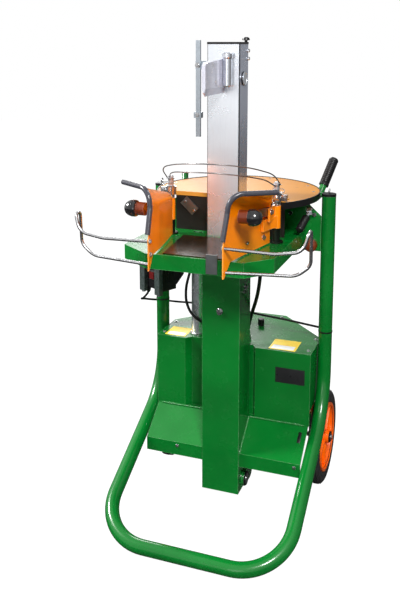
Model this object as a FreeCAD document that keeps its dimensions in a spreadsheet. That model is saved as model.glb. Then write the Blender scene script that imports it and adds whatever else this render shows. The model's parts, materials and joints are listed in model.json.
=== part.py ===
"""Upright hydraulic log splitter on a bent tube frame with two transport wheels.

Millimetres. X is to the right of a person standing in front, -Y is the front,
Z is up. The origin is on the floor, on the axis of the square guide column.
"""
import FreeCAD, Part
import math
import os
import re
import Sketcher

Vector = FreeCAD.Vector
ALONG_X = FreeCAD.Rotation(Vector(0, 1, 0), 90)
ALONG_Y = FreeCAD.Rotation(Vector(1, 0, 0), -90)
UPRIGHT = FreeCAD.Rotation()

SIZES = {
    # general fits
    "gap": 0.3, "running": 0.06, "sheet_wall": 4,
    # bent tube frame
    "tube_radius": 24.15, "tube_wall": 3, "upright_x": 313, "upright_y": 172, "upright_top": 1103,
    "foot_y": 396, "knee_z": 334, "knee_radius": 235, "toe_radius": 165, "cap_height": 9, "plug_depth": 22,
    # guide column and foot
    "column_width": 134, "column_depth": 124, "column_wall": 6, "column_foot": 62,
    "foot_pin_z": 93, "foot_pin_radius": 12, "lug_radius": 27, "lug_reach": 55, "lug_wall": 8,
    # moving ram
    "ram_width": 108, "ram_depth": 99, "ram_wall": 5, "ram_top": 1619, "ram_foot": 560,
    "ram_cap_height": 7, "knob_radius": 13, "plug_radius": 23, "plug_drop": 111,
    "rod_radius": 16, "piston_z": 640, "piston_height": 40, "barrel_radius": 31, "barrel_wall": 6,
    "barrel_foot": 116, "barrel_top": 730,
    # knife
    "knife_wall": 12, "knife_reach": 232, "knife_drop": 156, "knife_height": 103, "knife_bevel": 26,
    "sleeve_radius": 14,
    # stroke rod
    "stroke_rod_x": -106, "stroke_rod_width": 16, "stroke_rod_depth": 8, "stroke_rod_rise": 13,
    "stroke_rod_length": 322, "bracket_drop": 69,
    # splitting table
    "table_top": 980, "table_flange": 48, "table_front": 322, "table_half_front": 160, "table_left": 270,
    "table_right": 232, "table_shoulder": 240, "wear_wall": 3, "wear_half": 104, "wear_front": 312,
    # round log rest
    "disc_radius": 286, "disc_y": 126, "disc_top": 1115, "disc_wall": 14, "rim_wall": 3, "rim_height": 22,
    "notch_half": 214, "notch_y": 20, "apron_half": 195, "slot_half": 62, "slot_y": 60,
    # rear cross plate and rest frame
    "cross_wall": 5, "cross_low": 905, "cross_high": 1076, "handle_x": 252, "handle_y": 259,
    "handle_radius": 17.5, "handle_length": 112, "stub_radius": 12, "stub_length": 70,
    "bare_stub_length": 44,
    # base tray and housing
    "tray_half": 284, "tray_front": 54, "tray_edge_z": 213, "tray_flange": 49, "tray_rear_y": 59,
    "tray_rear_z": 300, "housing_half": 287, "housing_front": 57, "housing_side_y": 225, "housing_rear": 416,
    "housing_rear_half": 110, "housing_top": 564, "housing_wall": 3, "recess_left": 178, "recess_right": 89,
    "recess_depth": 20, "wheel_bay_x": 266, "wheel_bay_z": 356,
    # wheels
    "wheel_radius": 172, "wheel_face": 318, "tyre_width": 44, "rim_radius": 126, "axle_y": 252,
    "axle_radius": 10, "hub_radius": 22, "axle_reach": 334,
    # arms
    "pin_x": 185, "pin_y": 50, "pin_radius": 10, "pin_top": 1182, "sleeve_wall": 4.5, "sleeve_low": 1030,
    "sleeve_high": 1104, "shield_wall": 4, "shield_low": 985, "hood_z": 1194, "hood_radius": 59,
    "hood_lip": 89, "front_lean": 37, "lean_z": 1040, "tooth_z": 945, "tooth_length": 47, "trim_radius": 8, "lever_pivot_y": 112, "lever_pivot_z": 1094,
    "grip_y": 334, "grip_z": 1123, "grip_radius": 26, "grip_length": 41, "collar_radius": 20.5,
    "stub_pin_radius": 8, "hoop_rod": 5, "lever_x": 171, "lever_wall": 7, "lever_depth": 26,
    # switch box
    "switch_x": -306, "switch_y": 62, "switch_z": 736, "switch_width": 118, "switch_depth": 62,
    "switch_height": 146, "switch_turn": 27,
    # hand lever
    "lever_hub_x": 252, "lever_hub_y": 147, "lever_hub_z": 1050, "lever_grip_radius": 13.5,
    # hydraulics
    "guide_tube_x": -147, "guide_tube_y": 120, "guide_tube_radius": 27, "motor_radius": 74, "valve_height": 38,
    "hose_radius": 6.5,
    "thin_hose_radius": 5, "cable_radius": 4,
}

doc = FreeCAD.newDocument("LogSplitter")
sheet = doc.addObject("Spreadsheet::Sheet", "Sizes")
for row, (alias, value) in enumerate(SIZES.items(), 1):
    sheet.set("A%d" % row, alias)
    sheet.set("B%d" % row, str(value))
    sheet.setAlias("B%d" % row, alias)
doc.recompute()

nodes = {}

KNIFE_EDGE, KNIFE_TOP = "(ram_top - knife_drop)", "(ram_top - knife_drop + knife_height)"
PLUG_Z, BRACKET_Z = "(ram_top - plug_drop)", "(ram_top - bracket_drop)"
ROD_FOOT = "(ram_top + stroke_rod_rise - stroke_rod_length)"


# ---------------------------------------------------------------- helpers
def link(text):
    """An expression in which each alias is read from the sheet."""
    return re.sub(r"[a-z_]+", lambda m: "Sizes." + m[0] if m[0] in SIZES else m[0], str(text))


def val(text):
    """The present value of such an expression."""
    return float(sheet.evalExpression(link(text)))


def vec(x, y, z):
    return Vector(val(x), val(y), val(z))


def bind(thing, **places):
    for prop, text in places.items():
        thing.setExpression(prop, link(text))
    return thing


def place(thing, x, y, z, turn=UPRIGHT):
    thing.Placement = FreeCAD.Placement(vec(x, y, z), turn)
    for axis, text in zip("xyz", (x, y, z)):
        thing.setExpression(".Placement.Base." + axis, link(text))
    return thing


def box(x, y, z, length, width, height):
    thing = doc.addObject("Part::Box", "Box")
    bind(thing, Length=length, Width=width, Height=height)
    return place(thing, x, y, z)


def cylinder(x, y, z, radius, height, turn=UPRIGHT):
    thing = doc.addObject("Part::Cylinder", "Cylinder")
    bind(thing, Radius=radius, Height=height)
    return place(thing, x, y, z, turn)


def fuse(*things):
    thing = doc.addObject("Part::MultiFuse", "Fuse")
    thing.Shapes = list(things)
    return thing


def group(*things):
    thing = doc.addObject("Part::Compound", "Group")
    thing.Links = list(things)
    return thing


def cut(base, *tools):
    thing = doc.addObject("Part::Cut", "Cut")
    thing.Base = base
    thing.Tool = tools[0] if len(tools) == 1 else fuse(*tools)
    return thing


def mirrored(source):
    thing = doc.addObject("Part::Mirroring", "Mirror")
    thing.Source = source
    thing.Base = Vector()
    thing.Normal = Vector(1, 0, 0)
    return thing


def feature(shape):
    thing = doc.addObject("Part::Feature", "Feature")
    thing.Shape = shape
    return thing


def profile(body, plane, points):
    """A closed polygon sketch whose corners are bound to the sheet."""
    sketch = body.newObject("Sketcher::SketchObject", "Outline")
    support = [f for f in body.Origin.OriginFeatures if f.Role == plane][0]
    sketch.AttachmentSupport = [(support, "")]
    sketch.MapMode = "FlatFace"
    corners = [Vector(val(x), val(y), 0) for x, y in points]
    count = len(corners)
    for i in range(count):
        sketch.addGeometry(Part.LineSegment(corners[i], corners[(i + 1) % count]))
    for i in range(count):
        sketch.addConstraint(Sketcher.Constraint("Coincident", i, 2, (i + 1) % count, 1))
    for i, (x, y) in enumerate(points):
        for kind, text, number in (("DistanceX", x, corners[i].x), ("DistanceY", y, corners[i].y)):
            index = sketch.addConstraint(Sketcher.Constraint(kind, -1, 1, i, 1, number))
            name = "%s%d" % (kind, i)
            sketch.renameConstraint(index, name)
            sketch.setExpression("Constraints." + name, link(text))
    return sketch


def plate(plane, points, thickness, x="0", y="0", z="0"):
    """A flat plate padded from a polygon; XY pads up, XZ pads to -Y, YZ pads to +X."""
    body = doc.addObject("PartDesign::Body", "Plate")
    pad = body.newObject("PartDesign::Pad", "Pad")
    pad.Profile = profile(body, plane, points)
    bind(pad, Length=thickness)
    return place(body, x, y, z)


def turned(points, x, y, z, turn=UPRIGHT):
    """A solid of revolution about its own Z axis from (radius, height) corners."""
    body = doc.addObject("PartDesign::Body", "Turned")
    sketch = profile(body, "XZ_Plane", points)
    spin = body.newObject("PartDesign::Revolution", "Revolution")
    spin.Profile = sketch
    spin.ReferenceAxis = (sketch, ["V_Axis"])
    spin.Angle = 360
    return place(body, x, y, z, turn)


def route(points, radii):
    """A wire of straight runs joined by tangent arcs; radii is one number or one per corner."""
    corners = [Vector(*p) for p in points]
    if not isinstance(radii, (list, tuple)):
        radii = [radii] * (len(corners) - 2)
    edges, start = [], corners[0]
    for i, radius in enumerate(radii, 1):
        back = (corners[i - 1] - corners[i]).normalize()
        ahead = (corners[i + 1] - corners[i]).normalize()
        half = back.getAngle(ahead) / 2
        reach = radius / math.tan(half)
        middle = (back + ahead).normalize()
        tip = corners[i] + middle * (radius / math.sin(half) - radius)
        first, last = corners[i] + back * reach, corners[i] + ahead * reach
        if (first - start).Length > 0.01:
            edges.append(Part.LineSegment(start, first).toShape())
        edges.append(Part.Arc(first, tip, last).toShape())
        start = last
    edges.append(Part.LineSegment(start, corners[-1]).toShape())
    return Part.Wire(edges)


def swept(path, radius):
    first = path.Edges[0]
    circle = Part.Circle(first.valueAt(first.FirstParameter), first.tangentAt(first.FirstParameter), radius)
    return path.makePipeShell([Part.Wire(circle.toShape())], True, False)


def soft_radii(points):
    """Bend radii as large as the neighbouring runs allow."""
    corners = [Vector(*p) for p in points]
    radii = []
    for i in range(1, len(corners) - 1):
        back, ahead = corners[i] - corners[i - 1], corners[i + 1] - corners[i]
        turn = back.getAngle(ahead)
        radii.append(0.45 * min(back.Length, ahead.Length) / math.tan(turn / 2))
    return radii


def hose(points, radius):
    radii = soft_radii(points)
    print("hose bend radii", [round(r) for r in radii])
    return swept(route(points, radii), radius)


def node(label, thing):
    thing.Label = label
    nodes[label] = thing
    return thing


def pair(name, thing):
    """A right-hand piece and its mirror image."""
    node("right_" + name, thing)
    node("left_" + name, mirrored(thing))


def both(thing):
    """One node that holds a piece and its mirror image."""
    return group(thing, mirrored(thing))


# ---------------------------------------------------------------- bent tube frame
def frame_path():
    side = [
        vec("upright_x", "upright_y", "upright_top"),
        vec("upright_x", "upright_y", "knee_z"),
        vec("upright_x", "-foot_y", "tube_radius"),
    ]
    other = [Vector(-p.x, p.y, p.z) for p in reversed(side)]
    knee, toe = val("knee_radius"), val("toe_radius")
    return route([tuple(p) for p in side + other], [knee, toe, toe, knee])


def make_frame():
    path = frame_path()
    outer = swept(path, val("tube_radius"))
    inner = swept(path, val("tube_radius - tube_wall"))
    node("frame_tube", feature(outer.cut(inner)))
    cap = fuse(
        cylinder("upright_x", "upright_y", "upright_top", "tube_radius + 0.6", "cap_height"),
        cylinder("upright_x", "upright_y", "upright_top - plug_depth",
                 "tube_radius - tube_wall - gap", "plug_depth"),
    )
    node("tube_caps", both(cap))


# ---------------------------------------------------------------- column, cylinder, ram
def make_column():
    tall = "table_top - sheet_wall - column_foot"
    outer = box("-column_width / 2", "-column_depth / 2", "column_foot", "column_width", "column_depth", tall)
    bore = box("column_wall - column_width / 2", "column_wall - column_depth / 2", "column_foot - 1",
               "column_width - 2 * column_wall", "column_depth - 2 * column_wall", tall + " + 2")
    lug_x = "column_width / 2"
    arm = box(lug_x, "0", "foot_pin_z - lug_radius", "lug_wall", "lug_reach", "2 * lug_radius")
    front = cylinder(lug_x, "0", "foot_pin_z", "lug_radius", "lug_wall", ALONG_X)
    rear = cylinder(lug_x, "lug_reach", "foot_pin_z", "lug_radius", "lug_wall", ALONG_X)
    lug = fuse(arm, front, rear)
    pin_hole = cylinder("-column_width", "0", "foot_pin_z", "foot_pin_radius + gap / 2", "2 * column_width",
                        ALONG_X)
    node("column", cut(fuse(outer, lug, mirrored(lug)), bore, pin_hole))
    head = "column_width / 2 + lug_wall"
    pin = cylinder("-(" + head + ") - 6", "0", "foot_pin_z", "foot_pin_radius", "2 * (" + head + ") + 12",
                   ALONG_X)
    collar = cylinder(head + " + gap", "0", "foot_pin_z", "foot_pin_radius + 5", "5", ALONG_X)
    node("foot_pin", fuse(pin, collar, mirrored(collar)))


def make_cylinder():
    eye_width = 50
    eye = cylinder(str(-eye_width / 2), "0", "foot_pin_z", "barrel_radius - 6", str(eye_width), ALONG_X)
    eye_bore = cylinder("-100", "0", "foot_pin_z", "foot_pin_radius + gap / 2", "200", ALONG_X)
    foot = cylinder("0", "0", "barrel_foot - 8", "barrel_radius", "20")
    barrel = cylinder("0", "0", "barrel_foot", "barrel_radius", "barrel_top - barrel_foot")
    bore = cylinder("0", "0", "barrel_foot + 12", "barrel_radius - barrel_wall",
                    "barrel_top - barrel_foot - 24")
    rod_bore = cylinder("0", "0", "barrel_top - 20", "rod_radius + running", "30")
    node("cylinder_barrel", cut(fuse(eye, foot, barrel), bore, rod_bore, eye_bore))
    rod = cylinder("0", "0", "piston_z", "rod_radius", "ram_top - 60 - piston_z")
    piston = cylinder("0", "0", "piston_z - piston_height", "barrel_radius - barrel_wall - running",
                      "piston_height")
    node("piston_rod", fuse(rod, piston))


def make_guides():
    """Slide pads in the mouth of the column, one on each face of the ram."""
    pad_height, low = "70", "table_top - sheet_wall - 74"
    side = "(column_width / 2 - column_wall - ram_width / 2 - 2 * gap)"
    face = "(column_depth / 2 - column_wall - ram_depth / 2 - 2 * gap)"
    right = box("ram_width / 2 + gap", "-30", low, side, "60", pad_height)
    rear = box("-30", "ram_depth / 2 + gap", low, "60", face, pad_height)
    front = box("-30", "-ram_depth / 2 - gap - " + face, low, "60", face, pad_height)
    node("guide_pads", group(right, mirrored(right), rear, front))


def make_ram():
    tall = "ram_top - ram_foot"
    outer = box("-ram_width / 2", "-ram_depth / 2", "ram_foot", "ram_width", "ram_depth", tall)
    bore = box("ram_wall - ram_width / 2", "ram_wall - ram_depth / 2", "ram_foot - 1",
               "ram_width - 2 * ram_wall", "ram_depth - 2 * ram_wall", tall + " - 40")
    access = cylinder("ram_width / 2 - 8", "0", PLUG_Z, "plug_radius - 3", "20", ALONG_X)
    slot = box("-knife_wall / 2 - gap", "-ram_depth / 2 - 1", KNIFE_EDGE + " + 20", "knife_wall + 2 * gap",
               "ram_wall + 1 + gap", "knife_height - 40")
    node("ram_column", cut(outer, bore, access, slot))
    cap = box("-ram_width / 2 - 1", "-ram_depth / 2 - 1", "ram_top", "ram_width + 2", "ram_depth + 2",
              "ram_cap_height")
    knob = turned([("0", "0"), ("5", "0"), ("5", "5"), ("knob_radius", "6"), ("knob_radius - 2", "13"),
                   ("6", "16"), ("0", "16")], "ram_width / 2 - 6", "ram_depth / 2 - 7",
                  "ram_top + ram_cap_height")
    plug = cylinder("ram_width / 2", "0", PLUG_Z, "plug_radius", "4", ALONG_X)
    plug_neck = cylinder("ram_width / 2 - 4", "0", PLUG_Z, "plug_radius - 3 - gap", "4", ALONG_X)
    bolts = [cylinder("ram_width / 2 - 9", "ram_depth / 2", "ram_top - %d" % drop, "6", "6", ALONG_Y)
             for drop in (19, 44)]
    node("ram_trims", group(fuse(cap, knob), fuse(plug, plug_neck), *bolts))


def make_knife():
    """Wedge blade welded to the ram: a plate with a bevelled lower edge and a swept top."""
    front, back = "-knife_reach", "-ram_depth / 2"
    side = [(back, KNIFE_EDGE), (front + " + 10", KNIFE_EDGE + " - 2"), (front, KNIFE_EDGE + " + 10"),
            (front, KNIFE_TOP + " - 12"), (front + " + 10", KNIFE_TOP + " - 4"), (back, KNIFE_TOP + " + 8")]
    blade = plate("YZ_Plane", side, "knife_wall", "-knife_wall / 2")
    wide = "knife_wall / 2 + 1"
    bevel = plate("XZ_Plane", [("0", KNIFE_EDGE + " - 3"), (wide, KNIFE_EDGE + " - 3"),
                               (wide, KNIFE_EDGE + " + knife_bevel")], "knife_reach + 20", "0", "20", "0")
    tang = box("-knife_wall / 2", "-ram_depth / 2", KNIFE_EDGE + " + 21", "knife_wall", "ram_wall + 12",
               "knife_height - 42")
    node("knife", cut(fuse(blade, tang), bevel, mirrored(bevel)))
    centre_y = "-ram_depth / 2 - sleeve_radius - 3.5"
    sleeve_x = "knife_wall / 2 + sleeve_radius + 0.5"
    sleeve = turned([("0", "0"), ("sleeve_radius - 3", "0"), ("sleeve_radius", "3"), ("sleeve_radius", "88"),
                     ("sleeve_radius + 3", "92"), ("sleeve_radius + 3", "104"), ("sleeve_radius - 4", "108"),
                     ("0", "108")], sleeve_x, centre_y, KNIFE_EDGE + " + 22")
    node("knife_sleeve", sleeve)


def make_stroke_rod():
    """Flat rod beside the ram that trips the valve, with its bracket and stop block."""
    half = "stroke_rod_width / 2"
    bar = box("stroke_rod_x - " + half, "2", ROD_FOOT, "stroke_rod_width", "stroke_rod_depth",
              "stroke_rod_length")
    block = box("stroke_rod_x - 13", "-4", ROD_FOOT + " + 64", "26", "20", "20")
    bracket = box("stroke_rod_x - 12", "2 + stroke_rod_depth", BRACKET_Z + " - 14",
                  "-stroke_rod_x - ram_width / 2 + 12", "6", "28")
    foot = box("-ram_width / 2 - 5", "2 + stroke_rod_depth", BRACKET_Z + " - 14", "5", "34", "28")
    bolt = cylinder("stroke_rod_x", "-4", BRACKET_Z, "6", "6", ALONG_Y)
    node("stroke_rod", fuse(bar, block, bracket, foot, bolt))


# ---------------------------------------------------------------- splitting table
def make_table():
    front = [("-table_half_front", "-table_front"), ("table_half_front", "-table_front"),
             ("table_right", "-table_shoulder"), ("table_right", "upright_y - cross_wall"),
             ("-table_left", "upright_y - cross_wall"), ("-table_left", "-table_shoulder")]
    body = plate("XY_Plane", front, "table_flange", "0", "0", "table_top - table_flange")
    under = [("-table_half_front + 2", "-table_front + sheet_wall"),
             ("table_half_front - 2", "-table_front + sheet_wall"),
             ("table_right - sheet_wall", "-table_shoulder + 2"),
             ("table_right - sheet_wall", "upright_y + 20"),
             ("-table_left + sheet_wall", "upright_y + 20"), ("-table_left + sheet_wall", "-table_shoulder + 2")]
    hollow = plate("XY_Plane", under, "table_flange", "0", "0", "table_top - table_flange - sheet_wall")
    ram_gate = box("-ram_width / 2 - 3", "-ram_depth / 2 - 3", "table_top - 20", "ram_width + 6",
                   "ram_depth + 6", "40")
    rod_gate = box("stroke_rod_x - 17", "-7", "table_top - 20", "34", "26", "40")
    node("table_tray", cut(body, hollow, ram_gate, rod_gate))
    wear = [("-wear_half", "-wear_front"), ("wear_half", "-wear_front"), ("wear_half + 30", "-66"),
            ("-wear_half - 30", "-66")]
    node("wear_plate", plate("XY_Plane", wear, "wear_wall", "0", "0", "table_top"))


def make_steel_tabs():
    """Two bare steel flats: a hook plate on the front flange and a diagonal brace at the rest."""
    tab = box("42", "-table_front - 4", "table_top - 44", "36", "4", "60")
    front = val("notch_y + 2 - gap")
    low, high = Vector(-123, front, 1046), Vector(-166, front, 1086)
    along = (high - low).normalize()
    across = Vector(along.z, 0, -along.x) * 17
    corners = [low - across, low + across, high + across, high - across, low - across]
    strap = Part.Face(Part.makePolygon(corners)).extrude(Vector(0, -4, 0))
    node("steel_tabs", group(tab, feature(strap)))


def make_log_rest():
    low = "disc_top - disc_wall"
    disc = cylinder("0", "disc_y", low, "disc_radius - rim_wall - gap / 2", "disc_wall")
    notch = box("-notch_half", "disc_y - disc_radius - 5", low + " - 30", "2 * notch_half",
                "notch_y - disc_y + disc_radius + 5", "60")
    slot = box("-slot_half", "0", low + " - 30", "2 * slot_half", "slot_y", "60")
    node("log_rest", cut(disc, notch, slot))
    ring = cylinder("0", "disc_y", "disc_top + 2 - rim_height", "disc_radius", "rim_height")
    hole = cylinder("0", "disc_y", "disc_top - rim_height", "disc_radius - rim_wall", "rim_height + 10")
    node("rest_rim", cut(ring, hole, notch))
    apron_top = low + " - gap"
    apron = plate("XZ_Plane", [("-apron_half", "table_top + gap"), ("apron_half", "table_top + gap"),
                               ("apron_half", apron_top), ("-apron_half", apron_top)], "4", "0",
                  "notch_y + 6", "0")
    gate = box("-slot_half", "-20", "table_top - 5", "2 * slot_half", "80", "200")
    node("apron", cut(apron, gate))


def make_rear_frame():
    """Cross plate between the uprights, and the bar and stubs that carry the log rest."""
    half, rise = "upright_x - tube_radius - 0.6", "cross_high"
    outline = [("-(" + half + ")", "cross_low"), (half, "cross_low"), (half, rise + " - 46"),
               ("upright_x - 75", rise), ("75 - upright_x", rise), ("-(" + half + ")", rise + " - 46")]
    sheet_body = plate("XZ_Plane", outline, "cross_wall", "0", "upright_y", "0")
    ear = box("lever_hub_x - 14", "lever_hub_y - 12", "lever_hub_z - 14", "4",
              "upright_y - cross_wall - lever_hub_y + 12", "28")
    pin = cylinder("lever_hub_x - 14", "lever_hub_y", "lever_hub_z", "4", "26", ALONG_X)
    node("cross_plate", fuse(sheet_body, ear, pin))
    under = "disc_top - disc_wall - gap"
    bar = box("-230", "upright_y + gap", rise + " - 30", "460", "26", under + " - " + rise + " + 30")
    arm = box("200", "upright_y + gap", "disc_top + 2 - rim_height - gap - 9", "76",
              "handle_y - upright_y + 32", "9")
    node("rest_frame", fuse(bar, arm, mirrored(arm), *handle_stubs()))


def handle_axis():
    return Vector(25, 56, 88).normalize()


def handle_foot():
    return vec("handle_x + 8", "handle_y + 16", "disc_top - disc_wall - 12")


def handle_stubs():
    foot, along = handle_foot(), handle_axis()
    stub = feature(Part.makeCylinder(val("stub_radius"), val("stub_length"), foot, along))
    bare = feature(Part.makeCylinder(val("stub_radius"), val("bare_stub_length"), foot, along))
    return stub, mirrored(bare)


def make_handles():
    """Moulded grip on the right stub, and a plastic plug on the left one, which stands bare."""
    foot, along = handle_foot(), handle_axis()
    start = foot + along * 34
    length, radius = val("handle_length"), val("handle_radius")
    grip = Part.makeCylinder(radius, length - 8, start, along)
    dome = Part.makeCone(radius, radius - 6, 8, start + along * (length - 8), along)
    bore = Part.makeCylinder(val("stub_radius + gap"), 40, start - along * 2, along)
    end = foot + along * (val("bare_stub_length") + 0.3)
    plug = Part.makeCylinder(val("stub_radius") + 0.8, 5, end, along)
    node("handle_grips", group(feature(grip.fuse(dome).cut(bore)), mirrored(feature(plug))))


# ---------------------------------------------------------------- base, housing, wheels
def make_tray():
    front, rear, thick = "-tray_front", "tray_rear_y", "sheet_wall"
    side = [(front, "tray_edge_z - tray_flange"), (front + " + " + thick, "tray_edge_z - tray_flange"),
            (front + " + " + thick, "tray_edge_z - 3"), (rear, "tray_rear_z - 5"),
            ("housing_rear - 6", "tray_rear_z - 5"), ("housing_rear - 6", "tray_rear_z"),
            (rear, "tray_rear_z"), (front, "tray_edge_z")]
    sheet_body = plate("YZ_Plane", side, "2 * tray_half", "-tray_half")
    bay = box("wheel_bay_x", "70", "0", "100", "500", "wheel_bay_z")
    rear_corner = plate("XY_Plane", [("wheel_bay_x + 30", "housing_side_y - 6"), ("wheel_bay_x + 30", "500"),
                                     ("housing_rear_half - 6", "500"), ("housing_rear_half - 6", "housing_rear")],
                        "60", "0", "0", "tray_rear_z - 30")
    gate = box("-column_width / 2", "-column_depth", "0", "column_width", "1.5 * column_depth", "500")
    lug = box("wheel_bay_x - 14", "axle_y - 30", "wheel_radius - 24", "8", "60",
              "tray_rear_z - 5 - wheel_radius + 24")
    axle_hole = cylinder("-400", "axle_y", "wheel_radius", "axle_radius + gap / 2", "800", ALONG_X)
    solid = fuse(sheet_body, lug, mirrored(lug))
    node("base_tray", cut(solid, bay, mirrored(bay), rear_corner, mirrored(rear_corner), gate, axle_hole))


def housing_outline(inset):
    side = "(housing_half - %s)" % inset
    front, deep = "(housing_front + %s)" % inset, "(housing_front + recess_depth + %s)" % inset
    rear_half, rear = "(housing_rear_half - %s / 2)" % inset, "(housing_rear - %s)" % inset
    return [("-" + side, front), ("-recess_left - %s / 2" % inset, front),
            ("-recess_left + recess_depth - %s / 2" % inset, deep), ("recess_right - 12", deep),
            ("recess_right + %s" % inset, front), (side, front), (side, "housing_side_y"),
            (rear_half, rear), ("-" + rear_half, rear), ("-" + side, "housing_side_y")]


def make_housing():
    low = "tray_rear_z + gap"
    outer = plate("XY_Plane", housing_outline("0"), "housing_top - tray_rear_z - gap", "0", "0", low)
    inner = plate("XY_Plane", housing_outline("housing_wall"),
                  "housing_top - housing_wall - tray_rear_z", "0", "0", "tray_rear_z - 5")
    bay = box("wheel_bay_x", "64", "0", "100", "500", "wheel_bay_z")
    liner = box("wheel_bay_x - housing_wall", "64", low, "housing_half - wheel_bay_x",
                "housing_side_y - 64", "wheel_bay_z + housing_wall - tray_rear_z")
    hollow = cut(inner, liner, mirrored(liner))
    filler = cylinder("46", "279", "housing_top - 20", "9", "40")
    sight = cylinder("guide_tube_x", "guide_tube_y", "housing_top - 20", "12", "40")
    node("housing", cut(outer, hollow, bay, mirrored(bay), filler, sight))
    dip = fuse(cylinder("46", "279", "housing_top + gap", "11", "26"),
               cylinder("46", "279", "housing_top - 150", "3", "155"),
               cylinder("46", "279", "housing_top - 15", "8.5", "16"))
    node("dipstick", dip)
    plates = [box("134", "68", "housing_top", "96", "94", "1"),
              box("-262", "68", "housing_top", "80", "84", "1"),
              box("163", "housing_front - 1.2", "448", "105", "1.2", "56")]
    node("blank_plates", group(*plates))


def make_drive():
    """Motor and pump on the tray inside the housing, and the valve block under the table."""
    seat = "tray_rear_z"
    body = cylinder("-170", "200", seat + " + motor_radius + 12", "motor_radius", "190", ALONG_X)
    foot = box("-150", "150", seat, "140", "100", "24")
    shaft = cylinder("20", "200", seat + " + motor_radius + 12", "9", "34", ALONG_X)
    node("motor", fuse(body, foot, shaft))
    pump = cut(box("54.6", "155", seat, "70", "90", "132"),
               cylinder("10", "200", seat + " + motor_radius + 12", "9.15", "44.6", ALONG_X))
    node("pump", pump)
    node("valve_block", box("88", "-34", "table_top - sheet_wall - gap - valve_height", "66", "92", "valve_height"))


def make_wheels():
    inner_face = "wheel_face - tyre_width"
    at = (inner_face, "axle_y", "wheel_radius")
    half = "tyre_width / 2"
    tread = [("rim_radius", "5"), ("wheel_radius - 14", "0"), ("wheel_radius - 4", "6"),
             ("wheel_radius", "14"), ("wheel_radius", "tyre_width - 14"), ("wheel_radius - 4", "tyre_width - 6"),
             ("wheel_radius - 14", "tyre_width"), ("rim_radius", "tyre_width - 5")]
    pair("tyre", turned(tread, *at, ALONG_X))
    rim = turned([("axle_radius + running", "2"), ("hub_radius", "2"), ("hub_radius", half + " - 3"),
                  ("rim_radius - 12", half + " - 3"), ("rim_radius - 10", "6"), ("rim_radius - gap", "6"),
                  ("rim_radius - gap", "tyre_width - 6"), ("rim_radius - 10", "tyre_width - 6"),
                  ("rim_radius - 12", half + " + 3"), ("hub_radius", half + " + 3"),
                  ("hub_radius", "tyre_width + 6"), ("axle_radius + running", "tyre_width + 6")], *at, ALONG_X)
    windows = []
    for i in range(5):
        angle = math.radians(90 + 72 * i)
        reach = "((rim_radius - 12 + hub_radius) / 2)"
        windows.append(cylinder(inner_face + " - 5", "axle_y + %s * %.5f" % (reach, math.cos(angle)),
                                "wheel_radius + %s * %.5f" % (reach, math.sin(angle)),
                                "(rim_radius - 12 - hub_radius) / 2 - 10", "tyre_width + 20", ALONG_X))
    pair("rim", cut(rim, *windows))
    node("axle", cylinder("-axle_reach", "axle_y", "wheel_radius", "axle_radius", "2 * axle_reach", ALONG_X))


# ---------------------------------------------------------------- arms
def shield_sections():
    """Plan point, outward direction, hood radius, hood top and outward reach, front to rear."""
    radius, hood = val("hood_radius"), val("hood_z")
    return [
        (Vector(121, -355, 0), Vector(0.836, 0.548, 0), radius, hood, val("hood_lip")),
        (Vector(131, -275, 0), Vector(0.97, 0.24, 0), radius - 9, hood - 20, 46),
        (Vector(146, -190, 0), Vector(1, 0, 0), radius - 19, hood - 38, 20),
        (Vector(168, -78, 0), Vector(1, -0.1, 0), radius - 31, hood - 64, 5),
    ]


def strip(section):
    """Closed outline of the bent sheet at one station: straight web, quarter bend, flat lip."""
    foot, out, radius, top, lip = section
    out = Vector(out).normalize()
    wall, low, rise = val("shield_wall"), val("shield_low"), Vector(0, 0, 1)

    def bend(offset):
        r = radius - offset
        base = foot + out * offset
        spring = base + rise * (top - radius)
        centre = foot + out * radius + rise * (top - radius)
        diagonal = (rise - out).normalize() * r
        return base + rise * low, spring, centre + diagonal, centre + rise * r, \
            centre + rise * r + out * lip

    a, b, c, d, e = bend(0)
    p, q, r, s, t = bend(wall)
    return Part.Wire([
        Part.LineSegment(a, b).toShape(), Part.Arc(b, c, d).toShape(), Part.LineSegment(d, e).toShape(),
        Part.LineSegment(e, t).toShape(), Part.LineSegment(t, s).toShape(), Part.Arc(s, r, q).toShape(),
        Part.LineSegment(q, p).toShape(), Part.LineSegment(p, a).toShape(),
    ])


def shield_front():
    """Foot of the first station, the direction to the next one, and the foot of the leaning front edge."""
    first, second = shield_sections()[0][0], shield_sections()[1][0]
    ahead = (second - first).normalize()
    return first, ahead, first - ahead * val("front_lean")


def make_shield():
    """Bent sheet with a leaning front edge and a tooth that reaches below the table's front corner."""
    sheet_solid = Part.makeLoft([strip(s) for s in shield_sections()], True, True)
    foot, ahead, toe = shield_front()
    side = Vector(ahead.y, -ahead.x, 0) * (val("shield_wall") - 1)
    low, tip = val("shield_low"), val("tooth_z")
    spring = val("hood_z - hood_radius")
    corners = [toe + Vector(0, 0, tip), toe + ahead * 8 + Vector(0, 0, tip),
               toe + ahead * val("tooth_length") + Vector(0, 0, low),
               toe + ahead * (val("tooth_length") + 12) + Vector(0, 0, low),
               toe + ahead * (val("tooth_length") + 12) + Vector(0, 0, spring - 12),
               foot + Vector(0, 0, spring), toe + Vector(0, 0, val("lean_z"))]
    front = Part.Face(Part.makePolygon(corners + corners[:1])).extrude(side)
    pair("shield", feature(sheet_solid.fuse(front).removeSplitter()))


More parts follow.
